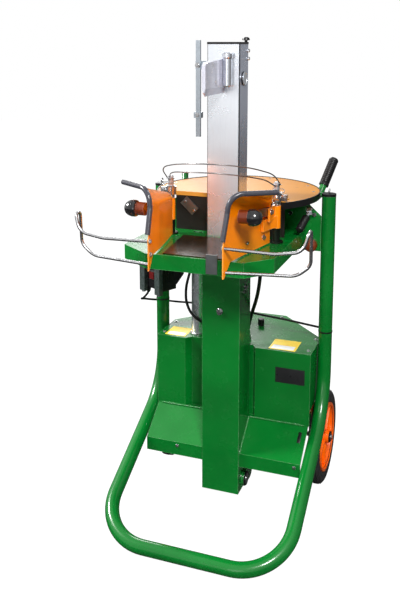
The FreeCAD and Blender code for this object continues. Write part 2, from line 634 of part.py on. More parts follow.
def make_trim():
    """Rubber edging that follows the front edge of the shield from knee height out to the hood's end."""
    _, out, radius, top, lip = shield_sections()[0]
    foot, ahead, _ = shield_front()
    out = Vector(out).normalize()
    rise = Vector(0, 0, 1)
    wall, edge = val("shield_wall"), val("trim_radius")
    lower = foot - ahead * (edge + 1.4) + Vector(ahead.y, -ahead.x, 0) * (wall / 2)
    upper = foot + out * (wall / 2) + Vector(out.y, -out.x, 0) * (edge + 0.9)
    spring, start = top - radius, val("lean_z") + 18
    slope = val("front_lean") / (spring - val("lean_z"))
    crown = upper + rise * (top - wall / 2)
    points = [lower - ahead * (slope * (spring - start)) + rise * start, lower + rise * spring, crown,
              crown + out * (radius + lip + 2 - wall / 2)]
    pair("trim", feature(swept(route([tuple(p) for p in points], [18, radius - 10]), edge)))


def make_arm():
    """Pivot sleeve with its bracket, welded to the shield's rear."""
    tall = "sleeve_high - sleeve_low"
    sleeve = cylinder("pin_x", "-pin_y", "sleeve_low", "pin_radius + sleeve_wall", tall)
    bore = cylinder("pin_x", "-pin_y", "sleeve_low - 5", "pin_radius + running", tall + " + 10")
    rear, mid = Vector(173.6, -79, 0), Vector(161.5, -141, 0)
    along = (mid - rear).normalize()
    off = Vector(-along.y, along.x, 0)
    root = Vector(val("pin_x"), -val("pin_y"), 0)
    z_low, z_high = val("lever_pivot_z") - 60, val("lever_pivot_z") - 22
    corners = [mid, rear, root + Vector(-6, 4, 0), root + Vector(10, -6, 0), rear + off * 8 + along * 14,
               mid + off * 8]
    flat = [c + Vector(0, 0, z_low) for c in corners]
    bar = feature(Part.Face(Part.makePolygon(flat + flat[:1])).extrude(Vector(0, 0, z_high - z_low)))
    eye_x = "lever_x + lever_wall + 1"
    cheek = box(eye_x, "-lever_pivot_y - 16", "lever_pivot_z - 30", "6", "64", "44")
    bolt = cylinder("lever_x - 4", "-lever_pivot_y", "lever_pivot_z", "5", "20", ALONG_X)
    pair("arm", cut(fuse(sleeve, bar, cheek, bolt), bore))


def make_lever():
    """Press-down lever: flat bar from the pivot bolt to a round collar and stub that hold the grip."""
    bar = plate("YZ_Plane", [("-lever_pivot_y + 14", "lever_pivot_z - lever_depth / 2"),
                             ("-lever_pivot_y + 14", "lever_pivot_z + lever_depth / 2"),
                             ("-grip_y", "grip_z + lever_depth / 2"),
                             ("-grip_y", "grip_z - lever_depth / 2")], "lever_wall", "lever_x")
    hole = cylinder("lever_x - 5", "-lever_pivot_y", "lever_pivot_z", "5 + running", "30", ALONG_X)
    collar = cylinder("lever_x - 21", "-grip_y", "grip_z", "collar_radius", "21 + lever_wall", ALONG_X)
    stub = cylinder("lever_x", "-grip_y", "grip_z", "stub_pin_radius", "lever_wall + grip_length - 8", ALONG_X)
    pair("lever", cut(fuse(bar, collar, stub), hole))
    grip = turned([("stub_pin_radius + gap / 3", "0"), ("grip_radius - 2", "0"), ("grip_radius", "3"),
                   ("grip_radius", "grip_length - 10"), ("grip_radius - 4", "grip_length - 3"),
                   ("grip_radius - 11", "grip_length"), ("0", "grip_length"), ("0", "grip_length - 7"),
                   ("stub_pin_radius + gap / 3", "grip_length - 7")],
                  "lever_x + lever_wall + gap", "-grip_y", "grip_z", ALONG_X)
    pair("grip", grip)


def make_hoop():
    """Round-rod guard that loops out beside the grip."""
    points = [(121.2, -386, 1036), (270, -388, 1034), (352, -386, 1046), (367, -380, 1100), (367, -352, 1104),
              (367, -346, 998), (326, -348, 964), (122.2, -378, 962)]
    rod = swept(route(points, [120, 42, 13, 13, 36, 60]), val("hoop_rod"))
    pair("hoop", feature(rod))


def make_pins():
    seat = "sleeve_low - gap - table_top"
    pin = turned([("0", "0"), ("24", "0"), ("24", "6"), ("pin_radius + 4", "6"), ("pin_radius + 4", seat),
                  ("pin_radius", seat),
                  ("pin_radius", "pin_top - table_top - 4"), ("pin_radius - 4", "pin_top - table_top"),
                  ("0", "pin_top - table_top")], "pin_x", "-pin_y", "table_top")
    node("arm_pins", both(pin))
    clamp = cut(cylinder("pin_x", "-pin_y", "sleeve_high + 14", "pin_radius + 9", "26"),
                cylinder("pin_x", "-pin_y", "sleeve_high", "pin_radius + gap", "60"))
    ear = box("pin_x + pin_radius + 6", "-pin_y - 7", "sleeve_high + 16", "20", "14", "20")
    node("pin_clamps", both(fuse(clamp, ear)))


def make_wires():
    """Return bows of spring wire, hooked over the tops of the two pins."""
    top, radius = val("pin_top"), val("pin_radius")
    x, y = val("pin_x"), -val("pin_y")
    low = [(-x, y - radius - 1.7, top - 14), (-164, -106, top + 14), (-122, -178, top + 34),
           (-52, -238, top + 46), (40, -250, top + 50), (118, -200, top + 38), (164, -110, top + 14),
           (x, y - radius - 1.7, top - 14)]
    high = [(-x - radius - 2.4, y, top - 10), (-200, -84, top + 20), (-170, -140, top + 44),
            (-110, -196, top + 62), (-30, -254, top + 76), (60, -264, top + 80), (140, -204, top + 66),
            (192, -112, top + 34), (x + radius + 2.4, y, top - 10)]
    node("bow_wires", group(feature(hose(low, 2)), feature(hose(high, 2))))


# ---------------------------------------------------------------- controls, hoses
def turned_box(x, y, z, length, width, height):
    """A box in the switch's own turned frame, measured from the switch's front centre."""
    turn = FreeCAD.Rotation(Vector(0, 0, 1), -val("switch_turn"))
    base = vec("switch_x", "switch_y", "switch_z")
    shape = Part.makeBox(length, width, height, Vector(x, y, z))
    shape.Placement = FreeCAD.Placement(base, turn)
    return shape


def make_switch():
    wide, deep, tall = val("switch_width"), val("switch_depth"), val("switch_height")
    body = turned_box(-wide / 2, 0, 0, wide, deep, tall)
    side = [(deep - 6, 14), (deep + 4, 16), (deep + 38, 48), (deep + 38, tall), (deep - 6, tall)]
    corners = [Vector(wide / 2 - 44, y, z) for y, z in side]
    flank = Part.Face(Part.makePolygon(corners + corners[:1])).extrude(Vector(44, 0, 0))
    flank.Placement = body.Placement
    base = body.fuse(flank)
    strips, holes = [], []
    for x in (-wide / 2 + 2, wide / 2 - 30):
        strips.append(feature(turned_box(x, -16 - 0.3, -14, 28, 16, tall + 8)))
    buttons = {"on_button": 92, "off_button": 50}
    for name, z in buttons.items():
        holes.append(turned_box(-13, -1, z - 13, 26, 12, 26))
        node(name, feature(turned_box(-12.5, -7, z - 12.5, 25, 14, 25)))
    lid = turned_box(-20, -5, 6, 40, 4.7, 26)
    node("inlet_lid", feature(lid))
    node("switch_box", feature(base.cut(holes[0]).cut(holes[1])))
    node("switch_strips", group(*strips))
    low = val("switch_z + switch_height")
    edge = -val("table_left") - 0.3
    foot = Part.makeBox(56, 50, 4, Vector(edge - 56, 78, low + 0.3))
    rise = Part.makeBox(4, 50, val("table_top") - 8 - low, Vector(edge - 4, 78, low + 0.3))
    node("switch_bracket", feature(foot.fuse(rise)))


def make_side_lever():
    """Hand lever with a black grip at the right of the cross plate."""
    foot = vec("lever_hub_x", "lever_hub_y", "lever_hub_z")
    along = Vector(-12, -86, -42).normalize()
    rod = Part.makeCylinder(6, 92, foot, along)
    hub = Part.makeCylinder(13, 16, foot - Vector(8, 0, 0), Vector(1, 0, 0))
    pin_hole = Part.makeCylinder(4 + val("running"), 60, foot - Vector(30, 0, 0), Vector(1, 0, 0))
    node("lever_rod", feature(rod.fuse(hub).cut(pin_hole)))
    start = foot + along * 38
    bore = Part.makeCylinder(6.2, 56, start - along * 2, along)
    grip = Part.makeCylinder(val("lever_grip_radius"), 72, start, along).cut(bore)
    node("lever_grip", feature(grip))


def make_hydraulics():
    low, high = "housing_top + gap", "table_top - sheet_wall - gap"
    tube = cylinder("guide_tube_x", "guide_tube_y", low, "guide_tube_radius", high + " - housing_top - gap")
    node("guide_tube", tube)
    right = [(126, -8, val("table_top - sheet_wall - valve_height") - 0.6), (126, -8, 905), (119, 4, 850),
             (104, 40, 790), (84, 76, 730), (60, 105, 670), (45, 124, 625), (40, 128, 600), (40, 128, 574.3)]
    left = [(-150, 157, val("table_top - sheet_wall") - 0.6), (-150, 157, 925), (-162, 156, 880),
            (-190, 150, 800), (-200, 124, 736), (-190, 98, 690), (-168, 84, 654), (-138, 85, 628),
            (-109, 97, 612), (-100, 100, 592), (-100, 100, 574.3)]
    node("hoses", group(feature(hose(right, val("hose_radius"))), feature(hose(left, val("thin_hose_radius")))))
    under = val("switch_z") - 0.3
    lead = [(-332, 82, under), (-332, 82, under - 22), (-350, 76, 690), (-368, 92, 680), (-372, 130, 668),
            (-364, 180, 650), (-330, 214, 641), (-274, 213, 641), (-200, 214, 645), (-120, 213, 644),
            (-30, 214, 639), (60, 211, 631), (150, 211, 625), (230, 207, 618), (284, 203, 614), (318, 200.6, 612)]
    node("cables", feature(hose(lead, val("cable_radius"))))


def make_fittings():
    """Bolts, washers, eyes, clips and hose ends, all zinc plated."""
    pieces = []

    def bolt(x, y, z, radius, height, turn):
        pieces.append(cylinder(x, y, z, str(radius), str(height), turn))

    for side in (1, -1):
        pieces.append(feature(Part.makeTorus(7, 2.2, vec("%d * upright_x" % side, "upright_y",
                                                         "upright_top + cap_height + 9.5"), Vector(1, 0, 0))))
        for x in (265, 180):
            bolt("%d * %d" % (side, x), "upright_y - cross_wall - 5", "1035", 7, 5, ALONG_Y)
    bolt("-5", "-column_depth / 2 - 5", "720", 7, 5, ALONG_Y)
    bolt("column_width / 2", "4", "790", 7, 5, ALONG_X)
    bolt("column_width / 2", "-24", "790", 5, 5, ALONG_X)
    bolt("40", "128", "housing_top", 12, 10, UPRIGHT)
    bolt("-100", "100", "housing_top", 10, 10, UPRIGHT)
    node("fittings", group(*pieces))


make_frame()
make_column()
make_cylinder()
make_guides()
make_ram()
make_knife()
make_stroke_rod()
make_table()
make_steel_tabs()
make_log_rest()
make_rear_frame()
make_handles()
make_tray()
make_housing()
make_drive()
make_wheels()
make_shield()
make_trim()
make_arm()
make_lever()
make_hoop()
make_pins()
make_wires()
make_switch()
make_side_lever()
make_hydraulics()
make_fittings()
doc.recompute()

failed = [o.Label for o in doc.Objects if "Invalid" in o.State or "Error" in o.State]
for label, thing in nodes.items():
    if thing.Shape.isNull() or not thing.Shape.isValid():
        failed.append(label)
if failed:
    raise RuntimeError("failed: " + ", ".join(failed))
if len(nodes) > 60:
    raise RuntimeError("too many nodes: %d" % len(nodes))
os.makedirs("parts", exist_ok=True)
for label, thing in nodes.items():
    thing.Shape.exportStep(os.path.join("parts", label + ".step"))
print(len(nodes), "nodes written")
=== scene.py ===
"""Finish, small fittings, light and camera for the upright log splitter."""
import math
import random
import json
import bpy
import bmesh
from mathutils import Vector, Matrix


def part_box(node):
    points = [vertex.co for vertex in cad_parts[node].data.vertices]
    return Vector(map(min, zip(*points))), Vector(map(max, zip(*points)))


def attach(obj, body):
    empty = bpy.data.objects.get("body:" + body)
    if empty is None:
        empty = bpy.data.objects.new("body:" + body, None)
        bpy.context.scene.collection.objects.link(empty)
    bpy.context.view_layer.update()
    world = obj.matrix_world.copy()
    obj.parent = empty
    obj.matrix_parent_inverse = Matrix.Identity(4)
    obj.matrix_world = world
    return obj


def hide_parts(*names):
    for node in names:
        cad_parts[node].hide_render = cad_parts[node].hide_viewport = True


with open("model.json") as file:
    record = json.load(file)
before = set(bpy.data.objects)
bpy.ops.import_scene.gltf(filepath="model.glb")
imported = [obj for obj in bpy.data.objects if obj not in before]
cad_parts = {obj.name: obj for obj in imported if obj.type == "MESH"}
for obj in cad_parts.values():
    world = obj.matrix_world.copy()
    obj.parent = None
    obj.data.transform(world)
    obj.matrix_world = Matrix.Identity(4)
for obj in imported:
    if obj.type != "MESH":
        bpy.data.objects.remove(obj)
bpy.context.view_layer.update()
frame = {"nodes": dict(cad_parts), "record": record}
NODES = frame["nodes"]
scene = bpy.context.scene
scene.view_settings.view_transform = "Standard"
random.seed(4)

# The studio that reflections show: its middle level, its limits, and how it changes along each axis.
STUDIO_LEVEL, STUDIO_DARKEST, STUDIO_BRIGHTEST = 0.62, 0.27, 0.93
STUDIO_FALL_X, STUDIO_FALL_Y, STUDIO_RISE_Z = 0.42, 0.53, 0.5
# The level of the soft fill on all sides.
FILL_LEVEL = 0.26

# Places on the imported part, in metres: right is +X, the front is -Y, and the floor is at 0.
COLUMN_HALF_X, COLUMN_HALF_Y = 0.067, 0.062
# How far a weld's centre line stands out from the column's face.
PROUD = 0.001
TRAY_FRONT_Z, TRAY_REAR_Z = 0.213, 0.3015
TABLE_WELD_Z = 0.9745
PIN_X, PIN_Y = 0.185, -0.050
BOARD_CENTRE_Y, BOARD_SCREW_RING, BOARD_TOP = 0.126, 0.262, 1.1149
SWITCH_PLACE, SWITCH_TURN = (-0.306, 0.062, 0.736), -27
DIPSTICK_PLACE = (0.046, 0.279, 0)
UPRIGHT_X, UPRIGHT_Y = 0.313, 0.172

# Nodes whose finish differs from their material slot's.
NODE_FINISH = {"arm_pins": "pin_zinc", "steel_tabs": "dull_zinc", "apron": "black_steel",
               "bow_wires": "bow_wire", "ram_column": "ram_zinc_painted_reflections", "stroke_rod": "rod_zinc",
               "knife_sleeve": "chrome"}
# Width of the softened edge of each node, in metres.
EDGE_WIDTHS = {"housing": 0.007, "base_tray": 0.007, "table_tray": 0.0025, "column": 0.004,
               "ram_column": 0.0035, "cross_plate": 0.001, "switch_box": 0.003,
               "switch_strips": 0.0035, "knife": 0.0006,
               "wear_plate": 0.0008, "steel_tabs": 0.0008, "valve_block": 0.002, "right_lever": 0.001,
               "left_lever": 0.001, "pump": 0.003, "switch_bracket": 0.0012, "stroke_rod": 0.0008,
               "rest_frame": 0.0012, "inlet_lid": 0.0012, "on_button": 0.0015, "off_button": 0.0015,
               "ram_trims": 0.0008, "tube_caps": 0.001}


# ---------------------------------------------------------------- camera, light, floor
def make_camera():
    """The view that the looks were set for: from the front right, about as high as the ram's top."""
    data = bpy.data.cameras.new("camera")
    data.sensor_width, data.lens = 36.0, 46.96
    data.shift_y = -0.2
    camera = bpy.data.objects.new("camera", data)
    camera.location = (0.8236, -2.4661, 1.6174)
    camera.rotation_euler = (math.radians(80.186), 0.0, math.radians(20.494))
    scene.collection.objects.link(camera)
    scene.camera = camera


def make_world():
    """White to the camera, a soft fill for diffuse light, and a graded white studio in reflections."""
    world = bpy.data.worlds.new("studio")
    scene.world = world
    world.use_nodes = True
    tree = world.node_tree
    tree.nodes.clear()

    def node(kind, **settings):
        made = tree.nodes.new(kind)
        for key, value in settings.items():
            setattr(made, key, value)
        return made

    def maths(operation, a, b):
        made = node("ShaderNodeMath", operation=operation)
        for socket, value in zip(made.inputs, (a, b)):
            if isinstance(value, (int, float)):
                socket.default_value = value
            else:
                tree.links.new(value, socket)
        return made.outputs[0]

    def light(colour, strength):
        made = node("ShaderNodeBackground")
        made.inputs[0].default_value = (*colour, 1)
        if isinstance(strength, (int, float)):
            made.inputs[1].default_value = strength
        else:
            tree.links.new(strength, made.inputs[1])
        return made.outputs[0]

    def mix(fac, a, b):
        made = node("ShaderNodeMixShader")
        for socket, value in zip(made.inputs, (fac, a, b)):
            tree.links.new(value, socket)
        return made.outputs[0]

    path = node("ShaderNodeLightPath")
    split = node("ShaderNodeSeparateXYZ")
    tree.links.new(node("ShaderNodeTexCoord").outputs["Generated"], split.inputs[0])
    grade = maths("SUBTRACT", STUDIO_LEVEL, maths("MULTIPLY", split.outputs["Y"], STUDIO_FALL_Y))
    grade = maths("SUBTRACT", grade, maths("MULTIPLY", split.outputs["X"], STUDIO_FALL_X))
    grade = maths("ADD", grade, maths("MULTIPLY", split.outputs["Z"], STUDIO_RISE_Z))
    grade = maths("MINIMUM", maths("MAXIMUM", grade, STUDIO_DARKEST), STUDIO_BRIGHTEST)
    seen = maths("MAXIMUM", path.outputs["Is Camera Ray"], path.outputs["Is Transmission Ray"])
    reflected = mix(path.outputs["Is Glossy Ray"], light((0.96, 0.98, 1.0), FILL_LEVEL),
                    light((1, 1, 1), grade))
    out = node("ShaderNodeOutputWorld")
    tree.links.new(mix(seen, reflected, light((1, 1, 1), 1.0)), out.inputs[0])


def area_light(name, place, aim, size, power):
    """A round soft lamp at place, turned to aim."""
    data = bpy.data.lights.new(name, "AREA")
    data.shape, data.size, data.energy = "DISK", size, power
    lamp = bpy.data.objects.new(name, data)
    lamp.location = place
    lamp.rotation_euler = (Vector(aim) - Vector(place)).to_track_quat("-Z", "Y").to_euler()
    scene.collection.objects.link(lamp)


def make_lights():
    """A key light from the left, one from the upper right, a weak one in front and one behind."""
    area_light("key", (-3.4, -0.9, 3.1), (0, 0, 0.6), 0.9, 255)
    area_light("top", (1.7, -3.2, 3.8), (0, -0.1, 1.0), 1.2, 250)
    area_light("front", (-0.2, -4.8, 1.5), (0, 0, 0.7), 1.6, 16)
    area_light("back", (-1.4, 3.2, 2.8), (0, 0, 0.9), 1.6, 60)


def make_floor():
    """A floor that is white to the camera, dim in reflections and matt grey to diffuse light."""
    mesh = bpy.data.meshes.new("floor")
    mesh.from_pydata([(-9, -9, 0), (9, -9, 0), (9, 12, 0), (-9, 12, 0)], [], [(0, 1, 2, 3)])
    floor = bpy.data.objects.new("floor", mesh)
    scene.collection.objects.link(floor)
    material = bpy.data.materials.new("floor_white")
    material.use_nodes = True
    tree = material.node_tree
    tree.nodes.clear()

    def glow(level):
        made = tree.nodes.new("ShaderNodeEmission")
        made.inputs["Strength"].default_value = level
        return made.outputs[0]

    def matt(level):
        made = tree.nodes.new("ShaderNodeBsdfDiffuse")
        made.inputs["Color"].default_value = (level, level, level, 1)
        return made.outputs[0]

    def join(kind, *sockets):
        made = tree.nodes.new(kind)
        for socket, value in zip(made.inputs, sockets):
            tree.links.new(value, socket)
        return made.outputs[0]

    path = tree.nodes.new("ShaderNodeLightPath")
    bounced = join("ShaderNodeMixShader", path.outputs["Is Glossy Ray"], matt(0.35), glow(0.07))
    seen = join("ShaderNodeAddShader", glow(1.0), matt(0.1))
    out = tree.nodes.new("ShaderNodeOutputMaterial")
    shown = join("ShaderNodeMixShader", path.outputs["Is Camera Ray"], bounced, seen)
    tree.links.new(shown, out.inputs[0])
    mesh.materials.append(material)


# ---------------------------------------------------------------- materials
class Shade:
    """A material under construction: a Principled shader with helpers for its texture nodes."""

    def __init__(self, name, **sockets):
        self.material = bpy.data.materials.new(name)
        self.material.use_nodes = True
        self.tree = self.material.node_tree
        self.base = self.tree.nodes["Principled BSDF"]
        self.place = self.new("ShaderNodeTexCoord").outputs["Object"]
        self.normal = None
        for key, value in sockets.items():
            self.base.inputs[key.replace("_", " ")].default_value = value

    def new(self, kind, **settings):
        node = self.tree.nodes.new(kind)
        for key, value in settings.items():
            setattr(node, key, value)
        return node

    def link(self, a, b):
        self.tree.links.new(a, b)

    def scaled(self, stretch):
        mapping = self.new("ShaderNodeMapping")
        mapping.inputs["Scale"].default_value = stretch
        self.link(self.place, mapping.inputs["Vector"])
        return mapping.outputs[0]

    def noise(self, scale, detail=3.0, stretch=(1, 1, 1), rough=0.55):
        node = self.new("ShaderNodeTexNoise")
        node.inputs["Scale"].default_value = scale
        node.inputs["Detail"].default_value = detail
        node.inputs["Roughness"].default_value = rough
        self.link(self.scaled(stretch), node.inputs["Vector"])
        return node.outputs["Fac"]

    def ramp(self, fac, *stops):
        node = self.new("ShaderNodeValToRGB")
        ramp = node.color_ramp
        while len(ramp.elements) < len(stops):
            ramp.elements.new(0.5)
        for element, (position, colour) in zip(ramp.elements, stops):
            element.position = position
            element.color = (*colour, 1) if len(colour) == 3 else colour
        self.link(fac, node.inputs[0])
        return node.outputs[0]

    def blend(self, fac, a, b, mode="MIX"):
        node = self.new("ShaderNodeMix", data_type="RGBA", blend_type=mode)
        for socket, value in ((node.inputs[0], fac), (node.inputs[6], a), (node.inputs[7], b)):
            if isinstance(value, (int, float)):
                socket.default_value = value
            elif isinstance(value, tuple):
                socket.default_value = (*value, 1)
            else:
                self.link(value, socket)
        return node.outputs[2]

    def colour(self, socket):
        self.link(socket, self.base.inputs["Base Color"])
        return self

    def rough(self, fac, low, high):
        node = self.new("ShaderNodeMapRange")
        node.inputs["To Min"].default_value = low
        node.inputs["To Max"].default_value = high
        self.link(fac, node.inputs[0])
        self.link(node.outputs[0], self.base.inputs["Roughness"])
        return self

    def bump(self, fac, depth, strength=1.0):
        node = self.new("ShaderNodeBump")
        node.inputs["Distance"].default_value = depth
        node.inputs["Strength"].default_value = strength
        self.link(fac, node.inputs["Height"])
        if self.normal is not None:
            self.link(self.normal, node.inputs["Normal"])
        self.normal = node.outputs[0]
        self.link(self.normal, self.base.inputs["Normal"])
        return self

    def edges(self, radius=0.0012):
        """Where the surface is near an edge: 0 on flats, about 1 on outer edges."""
        node = self.new("ShaderNodeBevel", samples=4)
        node.inputs["Radius"].default_value = radius
        geometry = self.new("ShaderNodeNewGeometry")
        dot = self.new("ShaderNodeVectorMath", operation="DOT_PRODUCT")
        self.link(node.outputs[0], dot.inputs[0])
        self.link(geometry.outputs["Normal"], dot.inputs[1])
        ranged = self.new("ShaderNodeMapRange")
        ranged.inputs["From Min"].default_value = 0.995
        ranged.inputs["From Max"].default_value = 0.8
        self.link(dot.outputs["Value"], ranged.inputs[0])
        return ranged.outputs[0]


def paint(name, colour, worn, rough=0.24):
    """Gloss powder coat: orange-peel bump, slow tone drift, dust film, painted highlights along the edges and
    rubbed edges.
    """
    shade = Shade(name, Specular_IOR_Level=0.3, Coat_Weight=0.3, Coat_Roughness=0.04)
    dark = tuple(c * 0.78 for c in colour)
    light = tuple(min(1.0, c * 1.12 + 0.004) for c in colour)
    drift = shade.ramp(shade.noise(3.5, 2), (0.3, dark), (0.55, colour), (0.8, light))
    dust = shade.ramp(shade.noise(26, 6, rough=0.7), (0.5, (0, 0, 0)), (0.85, (0.22, 0.22, 0.22)))
    body = shade.blend(dust, drift, tuple(0.75 * c + 0.03 for c in colour))
    # Painted highlight: convex edges are blended towards a lighter tone of the paint.
    edge_highlight_tone = tuple(min(1.0, 1.7 * c + 0.11) for c in colour)
    painted_edge_highlight = shade.new("ShaderNodeMath", operation="MULTIPLY")
    shade.link(shade.edges(0.0028), painted_edge_highlight.inputs[0])
    painted_edge_highlight.inputs[1].default_value = 0.75
    body = shade.blend(painted_edge_highlight.outputs[0], body, edge_highlight_tone)
    scuff = shade.new("ShaderNodeMath", operation="MULTIPLY")
    shade.link(shade.edges(), scuff.inputs[0])
    shade.link(shade.ramp(shade.noise(70, 4), (0.5, (0, 0, 0)), (0.62, (1, 1, 1))), scuff.inputs[1])
    shade.colour(shade.blend(scuff.outputs[0], body, worn))
    shade.rough(shade.noise(14, 4), rough - 0.06, rough + 0.1)
    shade.bump(shade.noise(420, 2), 0.00005, 0.3)
    return shade.material


def galvanised(name="galvanised_coat", corner=None):
    """Smooth bright zinc coat with fine draw marks and a film of grease; on a ram, painted reflections and
    shade: a darker blue-grey right side, a dark strip at the front of that side and a grey line along the
    left edge.
    """
    shade = Shade(name, Metallic=0.85)
    streak = shade.ramp(shade.noise(30, 3, (6, 6, 0.2)), (0.3, (0.78, 0.81, 0.85)),
                        (0.75, (0.82, 0.85, 0.89)))
    cloud = shade.ramp(shade.noise(11, 4, (1, 1, 0.5)), (0.35, (0.96, 0.96, 0.97)), (0.7, (1, 1, 1)))
    body = shade.blend(1.0, streak, cloud, "MULTIPLY")
    grease = shade.ramp(shade.noise(5, 6, (1, 1, 0.35), 0.7), (0.58, (0, 0, 0)), (0.8, (0.3, 0.3, 0.3)))
    body = shade.blend(grease, body, (0.36, 0.34, 0.33))
    if corner:
        low, high = corner
        side_depth, corner_reflection_width, left_edge_shade_width = 0.0008, 0.012, 0.0022
        split = shade.new("ShaderNodeSeparateXYZ")
        shade.link(shade.place, split.inputs[0])

        def beyond(socket, operation, limit):
            node = shade.new("ShaderNodeMath", operation=operation)
            shade.link(split.outputs[socket], node.inputs[0])
            node.inputs[1].default_value = limit
            return node.outputs[0]

        # Painted reflections on the ram: the right side is tinted a darker blue-grey, and a near-black strip
        # at its front stands for the dark reflection in the rounded corner. A grey line along the left edge
        # is painted shade.
        on_side = beyond("X", "GREATER_THAN", high.x - side_depth)
        corner_reflection_mask = shade.new("ShaderNodeMath", operation="MULTIPLY")
        shade.link(on_side, corner_reflection_mask.inputs[0])
        shade.link(beyond("Y", "LESS_THAN", low.y + corner_reflection_width), corner_reflection_mask.inputs[1])
        body = shade.blend(on_side, body, (0.66, 0.71, 0.84))
        body = shade.blend(corner_reflection_mask.outputs[0], body, (0.055, 0.065, 0.085))
        body = shade.blend(beyond("X", "LESS_THAN", low.x + left_edge_shade_width), body, (0.22, 0.22, 0.24))
    shade.colour(body)
    shade.rough(shade.noise(12, 2), 0.26, 0.29)
    return shade.material


def zinc(name="zinc_plate", rough=0.2, tint=(0.52, 0.52, 0.53)):
    shade = Shade(name, Metallic=1.0)
    tone = shade.ramp(shade.noise(60, 4), (0.3, tuple(c * 0.86 for c in tint)), (0.7, tint))
    shade.colour(tone)
    shade.rough(shade.noise(90, 3), rough, rough + 0.14)
    shade.bump(shade.noise(300, 2), 0.00003, 0.15)
    return shade.material


def pin_finish(spacer_top=1.098):
    """Bright zinc pin above the guard's sleeve, a near-black greenish tone on the spacer below it."""
    shade = Shade("pin_zinc", Metallic=0.8)
    split = shade.new("ShaderNodeSeparateXYZ")
    shade.link(shade.place, split.inputs[0])
    above = shade.new("ShaderNodeMath", operation="GREATER_THAN")
    shade.link(split.outputs["Z"], above.inputs[0])
    above.inputs[1].default_value = spacer_top
    # Below spacer_top the colour is a near-black green tone, varied by noise.
    near_black_tone = shade.ramp(shade.noise(40, 4), (0.3, (0.008, 0.014, 0.009)), (0.7, (0.02, 0.028, 0.02)))
    shade.colour(shade.blend(above.outputs[0], near_black_tone, (0.55, 0.55, 0.56)))
    shade.rough(shade.noise(60, 3), 0.22, 0.4)
    return shade.material


def ground_steel():
    """Polished tool steel with fine grinding lines, and resin stains where it meets the wood."""
    shade = Shade("ground_steel", Metallic=0.55)
    lines = shade.ramp(shade.noise(180, 3, (1, 0.12, 1)), (0.3, (0.58, 0.58, 0.66)),
                       (0.7, (0.72, 0.72, 0.80)))
    stain = shade.ramp(shade.noise(26, 6, rough=0.7), (0.6, (0, 0, 0)), (0.74, (0.7, 0.7, 0.7)))
    shade.colour(shade.blend(stain, lines, (0.34, 0.24, 0.15)))
    shade.rough(stain, 0.2, 0.5)
    shade.bump(shade.noise(200, 3, (1, 0.15, 1)), 0.0002, 0.3)
    return shade.material


def worn_steel():
    """Blackened table steel polished by logs: dark, glossy, brown resin smears and scratches."""
    shade = Shade("worn_table_steel", Specular_IOR_Level=0.22)
    smear = shade.ramp(shade.noise(9, 6, (1, 0.5, 1), 0.65), (0.38, (0.007, 0.0045, 0.002)),
                       (0.6, (0.028, 0.014, 0.003)), (0.8, (0.085, 0.042, 0.006)))
    scratch = shade.ramp(shade.noise(240, 2, (1, 0.05, 1)), (0.68, (0, 0, 0)), (0.76, (0.3, 0.3, 0.3)))
    shade.colour(shade.blend(scratch, smear, (0.20, 0.15, 0.10)))
    shade.rough(shade.noise(18, 5), 0.1, 0.32)
    shade.bump(shade.noise(120, 4, (1, 0.2, 1)), 0.0003, 0.4)
    return shade.material


def moulded(name, colour, rough=0.45, grain=500, depth=0.00012, coat=0.0):
    """Moulded plastic or rubber with a fine grain and a faint bloom of dust."""
    shade = Shade(name, Coat_Weight=coat, Coat_Roughness=0.08, Specular_IOR_Level=0.28)
    dusty = tuple(min(1.0, c * 1.2 + 0.004) for c in colour)
    shade.colour(shade.ramp(shade.noise(18, 6, rough=0.7), (0.35, colour), (0.8, dusty)))
    shade.rough(shade.noise(60, 3), rough - 0.06, rough + 0.1)
    shade.bump(shade.noise(grain, 2), depth, 0.5)
    return shade.material


def board():
    """Coated round board: warm orange-yellow, cloudy, with rubbed patches and small dark nicks."""
    shade = Shade("coated_board", Specular_IOR_Level=0.08)
    cloud = shade.ramp(shade.noise(5, 5, rough=0.6), (0.3, (0.46, 0.19, 0.028)), (0.6, (0.51, 0.22, 0.036)),
                       (0.8, (0.55, 0.26, 0.055)))
    nick = shade.ramp(shade.noise(46, 3), (0.70, (0, 0, 0)), (0.74, (0.8, 0.8, 0.8)))
    shade.colour(shade.blend(nick, cloud, (0.25, 0.13, 0.05)))
    shade.rough(shade.noise(12, 4), 0.24, 0.42)
    shade.bump(shade.noise(150, 4), 0.0002, 0.3)
    return shade.material


def tyre():
    """Black rubber with a dusty bloom."""
    shade = Shade("tyre_rubber")
    shade.colour(shade.ramp(shade.noise(12, 6, rough=0.7), (0.4, (0.010, 0.010, 0.011)),
                            (0.75, (0.035, 0.032, 0.03))))
    shade.rough(shade.noise(30, 3), 0.48, 0.7)
    shade.bump(shade.noise(300, 3), 0.0003, 0.5)
    return shade.material


